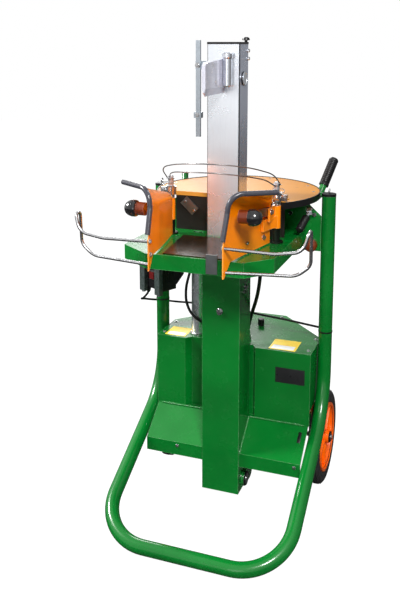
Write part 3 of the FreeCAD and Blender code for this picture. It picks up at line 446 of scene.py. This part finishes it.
def make_materials():
    """All finishes, by slot name or by the name that NODE_FINISH uses."""
    green = (0.0, 0.145, 0.016)
    orange = (1.0, 0.25, 0.0)
    return {
        "green_paint": paint("green_coat", green, (0.3, 0.3, 0.29)),
        "orange_paint": paint("orange_coat", orange, (0.35, 0.3, 0.26), 0.2),
        "maroon_paint": paint("maroon_coat", (0.15, 0.022, 0.003), (0.3, 0.28, 0.26), 0.34),
        "galvanised": galvanised(),
        "ram_zinc_painted_reflections": galvanised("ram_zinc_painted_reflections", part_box("ram_column")),
        "rod_zinc": zinc("rod_zinc", 0.24, (0.50, 0.55, 0.60)),
        "zinc": zinc(),
        "bare_steel": ground_steel(),
        "bow_wire": zinc("bow_wire", 0.3, (0.22, 0.21, 0.21)),
        "pin_zinc": pin_finish(),
        "dull_zinc": zinc("dull_zinc", 0.3, (0.26, 0.28, 0.28)),
        "black_steel": moulded("black_steel", (0.006, 0.0045, 0.003), 0.45, 120, 0.0002),
        "chrome": zinc("chrome_sleeve", 0.1, (0.78, 0.80, 0.86)),
        "dark_steel": worn_steel(),
        "tyre_rubber": tyre(),
        "orange_plastic": moulded("orange_rim", (0.9, 0.13, 0.0), 0.32, 350, 0.0001, 0.2),
        "black_plastic": moulded("black_moulding", (0.004, 0.004, 0.0045), 0.34),
        "gloss_black": moulded("gloss_grip", (0.006, 0.006, 0.007), 0.14, 200, 0.00004, 0.8),
        "grey_rubber": moulded("grey_edging", (0.035, 0.035, 0.045), 0.24, 700, 0.0001, 0.3),
        "hose_rubber": moulded("hose_cover", (0.004, 0.004, 0.0045), 0.3, 900, 0.0001),
        "board": board(),
        "grey_plastic": moulded("grey_moulding", (0.042, 0.056, 0.052), 0.26, 420, 0.0001, 0.2),
        "red_plastic": moulded("red_push", (0.10, 0.004, 0.004), 0.3),
        "green_plastic": moulded("green_push", (0.006, 0.12, 0.02), 0.3),
        "pad_plastic": moulded("pad_plastic", (0.8, 0.8, 0.74), 0.5),
        "label_film": moulded("plate_film", (0.88, 0.60, 0.04), 0.3),
        "cast_parts": moulded("cast_paint", (0.1, 0.11, 0.12), 0.5, 90, 0.0006),
        "white_film": moulded("white_plate_film", (0.85, 0.85, 0.82), 0.3),
        "black_film": moulded("black_plate_film", (0.012, 0.012, 0.013), 0.28),
    }


def dress_nodes(materials):
    """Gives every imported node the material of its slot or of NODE_FINISH."""
    slots = {s["node"]: s["material_slot"] for s in frame["record"]["subparts"]}
    for name, thing in NODES.items():
        thing.data.materials.clear()
        thing.data.materials.append(materials[NODE_FINISH.get(name, slots[name])])


# ---------------------------------------------------------------- mesh helpers
def add_mesh(name, mesh, body, slot, smooth=40, material=None):
    """Adds a piece that rides on a body; smooth is the angle in degrees above which an edge is sharp."""
    thing = bpy.data.objects.new(name, mesh)
    scene.collection.objects.link(thing)
    if smooth:
        mesh.shade_smooth()
        mesh.set_sharp_from_angle(angle=math.radians(smooth))
    mesh.materials.append(material or MATERIALS[slot])
    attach(thing, body)
    return thing


def turned_mesh(bm, profile, spot, axis, steps=32, closed=False):
    """Adds a solid of revolution: profile is (radius, height) pairs along the axis from spot."""
    turn = Vector((0, 0, 1)).rotation_difference(Vector(axis).normalized()).to_matrix()
    rings = []
    for radius, height in profile:
        if radius < 1e-6:
            rings.append([bm.verts.new(Vector(spot) + turn @ Vector((0, 0, height)))])
            continue
        ring = []
        for i in range(steps):
            a = 2 * math.pi * i / steps
            place = Vector((radius * math.cos(a), radius * math.sin(a), height))
            ring.append(bm.verts.new(Vector(spot) + turn @ place))
        rings.append(ring)
    pairs = list(zip(rings, rings[1:]))
    if closed:
        pairs.append((rings[-1], rings[0]))
    for low, high in pairs:
        for i in range(steps):
            j = (i + 1) % steps
            corners = [low[i % len(low)], low[j % len(low)], high[j % len(high)], high[i % len(high)]]
            corners = [c for k, c in enumerate(corners) if c not in corners[:k]]
            if len(corners) > 2:
                bm.faces.new(corners)
    if not closed:
        for ring, flip in ((rings[0], True), (rings[-1], False)):
            if len(ring) > 2:
                bm.faces.new(ring[::-1] if flip else ring)


def finish_mesh(bm, name):
    """Turns a bmesh into a mesh with its faces outwards."""
    bmesh.ops.recalc_face_normals(bm, faces=bm.faces)
    mesh = bpy.data.meshes.new(name)
    bm.to_mesh(mesh)
    bm.free()
    return mesh


def turned_piece(name, profile, spot, axis, body, slot, steps=48, smooth=40, closed=False):
    bm = bmesh.new()
    turned_mesh(bm, profile, spot, axis, steps, closed)
    return add_mesh(name, finish_mesh(bm, name), body, slot, smooth)


def hex_bolt(bm, spot, axis, flat, height, washer=None):
    """A chamfered hexagon head standing on a washer."""
    axis = Vector(axis).normalized()
    spot = Vector(spot)
    if washer:
        radius, thick = washer
        turned_mesh(bm, [(0, 0), (radius, 0), (radius, thick * 0.8), (radius * 0.97, thick), (0, thick)],
                    spot, axis, 28)
        spot = spot + axis * thick
    corner = flat / math.sqrt(3)
    turned_mesh(bm, [(0, 0), (corner, 0), (corner, height * 0.82), (corner * 0.88, height), (0, height)],
                spot, axis, 6)


def bolts(name, entries, body, slot="zinc", smooth=30):
    """One piece of several hex_bolt entries."""
    bm = bmesh.new()
    for entry in entries:
        hex_bolt(bm, *entry)
    return add_mesh(name, finish_mesh(bm, name), body, slot, smooth)


def bead(name, path, radius, body, slot, closed=False):
    """A weld seam: a tube with overlapping scales along a path of points."""
    points = [Vector(p) for p in path]
    if closed:
        points.append(points[0])
    bm = bmesh.new()
    for start, end in zip(points, points[1:]):
        length = (end - start).length
        count = max(2, round(length / (radius * 0.9)))
        for i in range(count + 1):
            wobble = 1 + random.uniform(-0.12, 0.12)
            spot = start.lerp(end, i / count)
            matrix = Matrix.Translation(spot) @ Matrix.Diagonal((radius * wobble, radius * wobble,
                                                                 radius * wobble, 1))
            bmesh.ops.create_icosphere(bm, subdivisions=2, radius=1.0, matrix=matrix)
    return add_mesh(name, finish_mesh(bm, name), body, slot, 80)


def curve_piece(name, points, radius, body, slot, order=3, cyclic=False):
    """A round wire along a smooth spline, as a mesh."""
    data = bpy.data.curves.new(name, "CURVE")
    data.dimensions = "3D"
    data.bevel_depth, data.bevel_resolution = radius, 4
    data.resolution_u = 8
    data.use_fill_caps = True
    spline = data.splines.new("NURBS")
    spline.points.add(len(points) - 1)
    for point, place in zip(spline.points, points):
        point.co = (*place, 1)
    spline.order_u = order
    spline.use_endpoint_u = not cyclic
    spline.use_cyclic_u = cyclic
    holder = bpy.data.objects.new(name + "_line", data)
    mesh = bpy.data.meshes.new_from_object(holder)
    bpy.data.objects.remove(holder)
    return add_mesh(name, mesh, body, slot, 60)


def ball_slab(bm, low, high, radius, steps=4, matrix=None):
    """A box with rounded edges."""
    low, high = Vector(low), Vector(high)
    part = bmesh.new()
    bmesh.ops.create_cube(part, size=1)
    for v in part.verts:
        v.co = Vector(((low[i] + high[i]) / 2 + v.co[i] * (high[i] - low[i])) for i in range(3))
    bmesh.ops.bevel(part, geom=part.edges[:] + part.verts[:], offset=radius, segments=steps, profile=0.5,
                    affect="EDGES")
    if matrix:
        bmesh.ops.transform(part, matrix=matrix, verts=part.verts)
    mesh = bpy.data.meshes.new("slab")
    part.to_mesh(mesh)
    part.free()
    bm.from_mesh(mesh)
    bpy.data.meshes.remove(mesh)


def slab(name, low, high, radius, body, slot, material=None, matrix=None):
    bm = bmesh.new()
    ball_slab(bm, low, high, radius, matrix=matrix)
    return add_mesh(name, finish_mesh(bm, name), body, slot, 50, material)


# ---------------------------------------------------------------- pieces
def soften_edges():
    """Rounded bends and broken edges on the sheet metal and mouldings."""
    for name, width in EDGE_WIDTHS.items():
        bevel = NODES[name].modifiers.new("edges", "BEVEL")
        bevel.width, bevel.segments = width, 3
        bevel.limit_method, bevel.angle_limit = "ANGLE", math.radians(50)
        bevel.use_clamp_overlap = False
        NODES[name].data.shade_smooth()
        NODES[name].data.set_sharp_from_angle(angle=math.radians(35))


def make_tyres():
    """Pneumatic-look tyre: rounded shoulders, three grooves, cross sipes and raised sidewall rings."""
    low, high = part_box("right_tyre")
    middle = (low + high) / 2
    radius, half, bore = (high.z - low.z) / 2, (high.x - low.x) / 2, 0.126
    section = [(bore, half - 0.005), (bore + 0.006, half - 0.002), (bore + 0.010, half - 0.0022),
               (bore + 0.012, half - 0.001), (bore + 0.015, half - 0.001), (bore + 0.017, half - 0.0026),
               (radius - 0.018, half - 0.0005), (radius - 0.012, half - 0.001),
               (radius - 0.006, half - 0.005), (radius - 0.003, half - 0.009),
               (radius - 0.0012, 0.0128), (radius - 0.0045, 0.0118),
               (radius - 0.0045, 0.0098), (radius - 0.0006, 0.0088), (radius - 0.0002, 0.0022),
               (radius - 0.0042, 0.0014)]
    section += [(r, -x) for r, x in reversed(section)]
    sipe_points, sipe_depth = (8, 9, 10, 13), 0.003
    steps = 144
    for side, body in ((1, "right_wheel"), (-1, "left_wheel")):
        bm = bmesh.new()
        rings = []
        for i in range(steps):
            a = 2 * math.pi * i / steps
            ring = []
            for k, (r, x) in enumerate(section):
                mirrored = min(k, len(section) - 1 - k)
                if mirrored in sipe_points and i % 6 in (0, 1):
                    r -= sipe_depth
                place = (side * middle.x + x, middle.y + r * math.cos(a), middle.z + r * math.sin(a))
                ring.append(bm.verts.new(place))
            rings.append(ring)
        for one, two in zip(rings, rings[1:] + rings[:1]):
            for k in range(len(section)):
                j = (k + 1) % len(section)
                bm.faces.new((one[k], one[j], two[j], two[k]))
        name = body + "_tyre"
        tyre_mesh = add_mesh(name, finish_mesh(bm, name), body, "tyre_rubber", 32)
        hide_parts("right_tyre" if side > 0 else "left_tyre")


def make_wheel_trims():
    """Hub cap with its nut, and ribs along the spokes."""
    low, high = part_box("right_rim")
    centre = (low + high) / 2
    for side, body in ((1, "right_wheel"), (-1, "left_wheel")):
        face = side * high.x
        turned_piece(body + "_hub_cap", [(0.0115, 0.0), (0.0215, 0.0), (0.0215, 0.0025), (0.019, 0.0042),
                                         (0.0115, 0.0045)], (face - side * 0.0001, centre.y, centre.z),
                     (side, 0, 0), body, "black_plastic", closed=True)
        bm = bmesh.new()
        web = side * (centre.x + 0.0005)
        hub = Matrix.Translation((web, centre.y, centre.z))
        for angle in range(36, 360, 72):
            turn = hub @ Matrix.Rotation(math.radians(angle), 4, "X")
            ball_slab(bm, (-0.0125, -0.0045, 0.023), (0.0125, 0.0045, 0.112), 0.003, 3, turn)
        add_mesh(body + "_spoke_ribs", finish_mesh(bm, "ribs"), body, "orange_plastic", 50)
        bm = bmesh.new()
        for lip in (0.0165, -0.0165):
            turned_mesh(bm, [(0.1165, -0.0016), (0.1245, -0.0016), (0.1245, 0.0016), (0.1165, 0.0016)],
                        (side * centre.x + lip, centre.y, centre.z), (1, 0, 0), 96, True)
        add_mesh(body + "_rim_lips", finish_mesh(bm, "lips"), body, "orange_plastic", 40)


def make_press_grips():
    """Glossy press grips: fluted skirt and a domed end with fine concentric steps."""
    low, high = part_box("right_grip")
    centre = (low + high) / 2
    radius, length = (high.y - low.y) / 2, high.x - low.x
    profile = [(0.0082, 0.0004), (radius - 0.004, 0.0), (radius - 0.001, 0.0015), (radius, 0.005)]
    for k in range(2):
        at = 0.008 + 0.0055 * k
        profile += [(radius, at), (radius - 0.0009, at + 0.001), (radius - 0.0009, at + 0.002),
                    (radius, at + 0.003)]
    shoulder, tip_gap = 0.030, 0.0002
    for k in range(1, 19):
        a = math.radians(5 * k)
        groove = 0.00025 if k % 3 == 0 and k > 8 else 0.0
        out = max(0.0, radius * math.cos(a) ** 0.8 - groove)
        profile.append((out, length - shoulder + (shoulder - tip_gap) * math.sin(a) - groove))
    profile[-1] = (0.0, length - tip_gap)
    for side, name in ((1, "right"), (-1, "left")):
        piece = turned_piece(name + "_press_grip", profile, (side * low.x, centre.y, centre.z), (side, 0, 0),
                             name + "_lever_body", "gloss_black", 64, 28)
        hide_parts(name + "_grip")


def ribbed(length, radius, start, pitch, depth, dome):
    """Profile of a ribbed hand grip with a collar at the foot and a rounded end."""
    profile = [(0.0, 0.0), (radius, 0.0), (radius, start * 0.7), (radius - depth, start)]
    at = start
    while at + pitch < length - dome:
        profile += [(radius - depth, at), (radius - depth * 0.2, at + pitch * 0.2),
                    (radius - depth * 0.2, at + pitch * 0.75), (radius - depth, at + pitch * 0.95)]
        at += pitch
    for k in range(7):
        a = math.radians(15 * k)
        profile.append((radius - dome * 0.75 * (1 - math.cos(a)), length - dome + dome * math.sin(a)))
    profile.append((0.0, length))
    return profile


def make_hand_grips():
    """Ribbed grips on the transport stub and the side lever, and a plug in the bare stub."""
    along = Vector((25, 56, 88)).normalized()
    foot = Vector((0.260, 0.275, 1.089))
    grip = turned_piece("transport_grip", ribbed(0.112, 0.0175, 0.012, 0.0072, 0.0016, 0.011),
                        foot + along * 0.034, along, "frame", "black_plastic", 40, 35)
    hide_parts("handle_grips")
    away = Vector((-along.x, along.y, along.z))
    turned_piece("left_stub_plug", [(0, 0), (0.0126, 0), (0.0128, 0.0032), (0.0112, 0.005), (0.0, 0.0052)],
                 Vector((-foot.x, foot.y, foot.z)) + away * 0.0443, away, "frame", "black_plastic", 32)
    down = Vector((-12, -86, -42)).normalized()
    hub = Vector((0.252, 0.147, 1.050))
    lever = turned_piece("side_lever_grip", ribbed(0.072, 0.0135, 0.008, 0.006, 0.0012, 0.008),
                         hub + down * 0.038, down, "side_lever", "black_plastic", 32, 35)
    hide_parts("lever_grip")


def make_plates():
    """Generic bare plates: a yellow film with a white field on the housing top, a black one in front."""
    low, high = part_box("housing")
    top, front = high.z, low.y
    skin, under, inlay = 0.0008, 0.0006, 0.0011
    parts = (
        ("plate_top_right", (0.134, 0.068, top), (0.230, 0.162, top + skin), "label_film"),
        ("plate_top_right_field", (0.142, 0.074, top + under), (0.222, 0.108, top + inlay), "white_film"),
        ("plate_top_left", (-0.262, 0.068, top), (-0.182, 0.152, top + skin), "label_film"),
        ("plate_top_left_field", (-0.255, 0.074, top + under), (-0.189, 0.102, top + inlay), "white_film"),
        ("plate_front", (0.163, front - skin, 0.448), (0.268, front, 0.504), "black_film"),
        ("plate_front_field", (0.240, front - inlay, 0.454), (0.262, front - under, 0.498), "black_film"))
    made = [slab(name, near, far, 0.0002, "frame", "label_film", MATERIALS[film])
            for name, near, far, film in parts]
    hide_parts("blank_plates")


def make_bolts():
    """Hexagon bolts and nuts with washers where the sheets and guards are screwed on."""
    guard_bolt = (0.010, 0.005, (0.008, 0.0014))
    shield_bolt = (0.010, 0.006, (0.009, 0.0015))
    pivot_nut = (0.013, 0.006, (0.0095, 0.0015))
    clamp_washer = (0.0075, 0.0012)
    for side, name in ((1, "right"), (-1, "left")):
        body = name + "_arm_body"
        bolts(name + "_guard_bolts", [((side * 0.1175, -0.3835, 1.036), (-side, 0.12, 0), *guard_bolt),
                                      ((side * 0.1195, -0.372, 0.992), (-side, 0.12, 0), *guard_bolt),
                                      ((side * 0.1400, -0.2353, 1.0187), (side, -0.15, 0), *shield_bolt),
                                      ((side * 0.1625, -0.120, 1.012), (side, -0.19, 0), *shield_bolt)],
              body)
        bolts(name + "_pivot_nuts", [((side * 0.1851, -0.112, 1.094), (side, 0, 0), *pivot_nut)], body)
        bolts(name + "_clamp_bolts",
              [((side * 0.2115, -0.0572, 1.130), (0, -1, 0), 0.010, 0.0055, clamp_washer),
               ((side * 0.2115, -0.0428, 1.130), (0, 1, 0), 0.010, 0.006, clamp_washer)], "frame")
    housing_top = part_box("housing")[1].z
    sheet_screw = (0.008, 0.003, (0.0065, 0.001))
    screws = [((x, y, housing_top), (0, 0, 1), *sheet_screw)
              for x, y in ((-0.272, 0.09), (-0.272, 0.205), (0.272, 0.09), (0.272, 0.205), (0.098, 0.392),
                           (-0.098, 0.392), (0.0, 0.392))]
    screws += [((0.2630, -0.0541, 0.1985), (0, -1, 0), *sheet_screw),
               ((-0.1657, -0.0541, 0.1990), (0, -1, 0), *sheet_screw)]
    screws += [((-0.004, -0.0622, 0.7255), (0, -1, 0), 0.015, 0.0075, (0.0115, 0.0016)),
               ((0.0672, 0.002, 0.803), (1, 0, 0), 0.014, 0.007, (0.0110, 0.0016))]
    bolts("housing_screws", screws, "frame")
    bolts("rest_frame_bolts", [((side * x, 0.1850, 1.062), (0, 1, 0), 0.011, 0.006, (0.009, 0.0015))
                               for side in (1, -1) for x in (0.10, 0.19)] +
          [((side * x, 0.1724, 0.935), (0, 1, 0), 0.011, 0.006, (0.009, 0.0015))
           for side in (1, -1) for x in (0.08, 0.20)], "frame")
    bolts("stroke_rod_nuts", [((-0.106, -0.0038, 1.550), (0, -1, 0), 0.010, 0.005, (0.0085, 0.0012)),
                              ((-0.106, -0.0042, 1.384), (0, -1, 0), 0.009, 0.004, (0.0075, 0.001))], "ram")
    ram_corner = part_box("ram_column")[1]
    bolts("ram_rear_bolts", [((ram_corner.x, ram_corner.y - 0.007, z), (1, 0, 0), 0.010, 0.006,
                              (0.0062, 0.0012)) for z in (1.598, 1.572)], "ram")
    bolts("strap_bolts", [((-0.128, 0.0212, 1.051), (0, -1, 0), 0.009, 0.005, (0.0075, 0.001)),
                          ((-0.160, 0.0212, 1.080), (0, -1, 0), 0.009, 0.005, (0.0075, 0.001))], "frame")
    bm = bmesh.new()
    for angle in (35, 80, 125, 170, 10):
        a = math.radians(angle)
        spot = (BOARD_SCREW_RING * math.cos(a), BOARD_CENTRE_Y + BOARD_SCREW_RING * math.sin(a), BOARD_TOP)
        turned_mesh(bm, [(0, 0), (0.006, 0), (0.0056, 0.0005), (0.003, 0.0005), (0.0026, 0.0001),
                         (0, 0.0001)], spot, (0, 0, 1), 24)
    add_mesh("board_screws", finish_mesh(bm, "board_screws"), "frame", "zinc", 30)


def make_welds():
    """Weld seams on table, tray, cross plate, knife and pivot sleeves, and the tray flange."""
    side_x, front_y = COLUMN_HALF_X + PROUD, -COLUMN_HALF_Y - PROUD
    table_seams = (
        ("table_weld", (-COLUMN_HALF_X, front_y), (COLUMN_HALF_X, front_y)),
        ("table_weld_right", (side_x, -COLUMN_HALF_Y), (side_x, COLUMN_HALF_Y)),
        ("table_weld_left", (-side_x, -COLUMN_HALF_Y), (-side_x, COLUMN_HALF_Y)))
    for name, start, end in table_seams:
        bead(name, [(*start, TABLE_WELD_Z), (*end, TABLE_WELD_Z)], 0.0032, "frame", "green_paint")
    flange_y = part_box("housing")[0].y - 0.0012
    for side in (1, -1):
        word = "right" if side > 0 else "left"
        bead(word + "_tray_flange", [(side * 0.073, flange_y, TRAY_REAR_Z),
                                     (side * 0.268, flange_y, TRAY_REAR_Z)], 0.0030, "frame", "green_paint")
        bead(word + "_tray_weld", [(side * side_x, -0.052, TRAY_FRONT_Z + 0.002),
                                   (side * side_x, 0.057, 0.299)], 0.003, "frame", "green_paint")
        bead(word + "_plate_weld", [(side * 0.2885, 0.1665, 0.91), (side * 0.2885, 0.1665, 1.026)], 0.0026,
             "frame", "green_paint")
        bead(word + "_knife_weld", [(side * 0.0068, -0.0505, 1.466), (side * 0.0068, -0.0505, 1.570)], 0.0022,
             "ram", "bare_steel")
        bead(word + "_sleeve_weld", [(side * 0.1745, -0.061, 1.036), (side * 0.1745, -0.061, 1.070)], 0.0022,
             word + "_arm_body", "orange_paint")


def make_hose_ends():
    """Crimped sleeves and hexagon nuts at both ends of each hose, and the cable's gland and clips."""
    ends = (((0.126, -0.008, 0.9375), (0, 0, -1), 0.0095), ((0.040, 0.128, 0.5742), (0, 0, 1), 0.0095),
            ((-0.150, 0.157, 0.9755), (0, 0, -1), 0.0078), ((-0.100, 0.100, 0.5742), (0, 0, 1), 0.0078))
    bm = bmesh.new()
    for spot, axis, radius in ends:
        hex_bolt(bm, spot, axis, radius * 2, 0.008)
        spot = Vector(spot) + Vector(axis) * 0.008
        turned_mesh(bm, [(0, 0), (radius * 0.9, 0), (radius * 0.9, 0.003), (radius * 0.8, 0.004),
                         (radius * 0.8, 0.006), (radius * 0.9, 0.007), (radius * 0.9, 0.010),
                         (radius * 0.8, 0.011), (radius * 0.8, 0.013), (radius * 0.88, 0.014),
                         (radius * 0.88, 0.017), (0, 0.0175)], spot, axis, 28)
    add_mesh("hose_ends", finish_mesh(bm, "hose_ends"), "frame", "zinc", 30)
    bm = bmesh.new()
    hex_bolt(bm, (-0.332, 0.082, 0.7362), (0, 0, -1), 0.019, 0.006)
    turned_mesh(bm, [(0, 0), (0.0088, 0), (0.0084, 0.007), (0.0056, 0.015), (0, 0.0152)],
                (-0.332, 0.082, 0.7302), (0, 0, -1), 28)
    add_mesh("cable_gland", finish_mesh(bm, "cable_gland"), "frame", "black_plastic", 30)
    for z, name in ((0.665, "left"), (0.615, "right")):
        side = -1 if name == "left" else 1
        turned_piece(name + "_cable_tie", [(0.02435, -0.0022), (0.0254, -0.0022), (0.0254, 0.0022),
                                           (0.02435, 0.0022)], (side * UPRIGHT_X, UPRIGHT_Y, z), (0, 0, 1),
                     "frame", "black_plastic", 48, 40, True)


def make_switch_details():
    """Bezel, frame screws and strip bolts of the switch box, in the box's own turned frame."""
    turn = Matrix.Translation(SWITCH_PLACE) @ Matrix.Rotation(math.radians(SWITCH_TURN), 4, "Z")
    bm = bmesh.new()
    for z in (0.092, 0.050):
        for x0, x1, z0, z1 in ((-0.017, 0.017, 0.0135, 0.017), (-0.017, 0.017, -0.017, -0.0135),
                               (-0.017, -0.0135, -0.0136, 0.0136), (0.0135, 0.017, -0.0136, 0.0136)):
            ball_slab(bm, (x0, -0.003, z + z0), (x1, 0.0005, z + z1), 0.0008, 2, turn)
    add_mesh("button_bezels", finish_mesh(bm, "button_bezels"), "frame", "grey_plastic", 40)
    bm = bmesh.new()
    for x in (-0.043, 0.043):
        for z in (-0.014, 0.140):
            spot = turn @ Vector((x, -0.008, z))
            turned_mesh(bm, [(0, -0.005), (0.0042, -0.005), (0.0042, 0.0), (0.0075, 0.0), (0.0075, 0.002),
                             (0, 0.002)], spot - Vector((0, 0, 0.003 if z < 0 else -0.003)),
                        (0, 0, -1 if z < 0 else 1), 24)
    add_mesh("strip_bolts", finish_mesh(bm, "strip_bolts"), "frame", "zinc", 30)
    bm = bmesh.new()
    for x in (-0.0225, 0.0225):
        ball_slab(bm, (x - 0.0015, -0.0025, 0.004), (x + 0.0015, 0.0005, 0.134), 0.0007, 2, turn)
    for k in range(5):
        ball_slab(bm, (0.0585, 0.012 + 0.009 * k, 0.030), (0.0602, 0.016 + 0.009 * k, 0.120), 0.0007, 2, turn)
    add_mesh("switch_ribs", finish_mesh(bm, "switch_ribs"), "frame", "black_plastic", 40)


def helix(centre, radius, low, high, turns, count=14):
    """Points along a helix, count of them to a turn."""
    total = int(turns * count)
    return [(centre[0] + radius * math.cos(2 * math.pi * i / count),
             centre[1] + radius * math.sin(2 * math.pi * i / count),
             low + (high - low) * i / total) for i in range(total + 1)]


def make_pin_clips():
    """Coil spring between clamp and sleeve, and a spring clip through the top of each pin."""
    for side, name in ((1, "right"), (-1, "left")):
        spot = (side * PIN_X, PIN_Y)
        curve_piece(name + "_pin_spring", helix(spot, 0.0122, 1.1055, 1.1165, 4), 0.0011, "frame", "zinc")
        curve_piece(name + "_pin_clip", [(side * 0.171, -0.052, 1.160), (side * 0.185, -0.052, 1.160),
                                         (side * 0.207, -0.053, 1.160), (side * 0.214, -0.056, 1.156),
                                         (side * 0.213, -0.064, 1.150), (side * 0.202, -0.067, 1.152),
                                         (side * 0.190, -0.0625, 1.158), (side * 0.176, -0.0625, 1.157)],
                    0.0013, "frame", "zinc")
        bm = bmesh.new()
        for low_z in (1.145, 1.1715):
            turned_mesh(bm, [(0.0102, 0), (0.0155, 0), (0.0155, 0.0016), (0.0102, 0.0016)],
                        (*spot, low_z), (0, 0, 1), 36, True)
        add_mesh(name + "_pin_washers", finish_mesh(bm, "washers"), "frame", "zinc", 30)


def make_small_parts():
    """Plug cover, buffer, washers, collars, a black slab of painted shade for the tray slot, dipstick flutes
    and louvres.
    """
    ram_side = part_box("ram_column")[1].x
    turned_piece("ram_plug_cover", [(0, 0), (0.0225, 0), (0.0225, 0.0012), (0.021, 0.0024), (0.0195, 0.0026),
                                    (0.019, 0.0016), (0, 0.0016)], (ram_side + 0.0041, 0, 1.508), (1, 0, 0),
                 "ram", "galvanised", 48)
    turned_piece("buffer", [(0, 0), (0.0215, 0), (0.0225, 0.004), (0.0225, 0.018), (0.0195, 0.0255),
                            (0.012, 0.030), (0, 0.031)], (0.256, 0.1668, 0.9265), (0, -1, 0), "frame",
                 "maroon_paint", 48)
    for side, name in ((1, "right"), (-1, "left")):
        turned_piece(name + "_foot_washer", [(0.0125, 0), (0.024, 0), (0.0245, 0.0015), (0.0245, 0.0045),
                                             (0.0125, 0.0045)], (side * 0.0752, 0, 0.093), (side, 0, 0),
                     "frame", "black_plastic", 48, 40, True)
        collar_z = 0.5643 if side > 0 else 0.967
        turned_piece(name + "_guide_collar", [(0.0272, 0), (0.0315, 0), (0.0315, 0.006), (0.029, 0.0085),
                                              (0.0272, 0.0085)], (-0.147, 0.120, collar_z),
                     (0, 0, 1), "frame", "zinc", 48, 40, True)
    # Painted shade: a thin black slab on the tray's slope stands for the dark inside of the slot.
    _, spot, normal, _ = NODES["base_tray"].ray_cast(Vector((0.262, 0.022, 0.5)), Vector((0, 0, -1)))
    slope = Matrix.Translation(spot) @ normal.to_track_quat("Z", "Y").to_matrix().to_4x4()
    bm = bmesh.new()
    ball_slab(bm, (-0.006, -0.020, -0.001), (0.006, 0.020, 0.0012), 0.001, 2, slope)
    add_mesh("tray_slot_shade", finish_mesh(bm, "tray_slot_shade"), "frame", "black_plastic", 40)
    dipstick_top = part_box("dipstick")[1].z
    bm = bmesh.new()
    for i in range(10):
        turn = Matrix.Translation(DIPSTICK_PLACE) @ Matrix.Rotation(math.radians(36 * i), 4, "Z")
        ball_slab(bm, (0.0098, -0.0018, dipstick_top - 0.022), (0.0122, 0.0018, dipstick_top - 0.002),
                  0.0008, 2, turn)
    add_mesh("dipstick_flutes", finish_mesh(bm, "flutes"), "frame", "black_plastic", 40)
    bm = bmesh.new()
    for k in range(6):
        ball_slab(bm, (-0.075, 0.4152, 0.372 + 0.016 * k), (0.075, 0.4182, 0.378 + 0.016 * k), 0.0012, 3)
    add_mesh("housing_louvres", finish_mesh(bm, "louvres"), "frame", "green_paint", 50)


make_camera()
make_world()
make_lights()
make_floor()
MATERIALS = make_materials()
dress_nodes(MATERIALS)
soften_edges()
make_tyres()
make_wheel_trims()
make_press_grips()
make_hand_grips()
make_plates()
make_bolts()
make_welds()
make_hose_ends()
make_switch_details()
make_pin_clips()
make_small_parts()
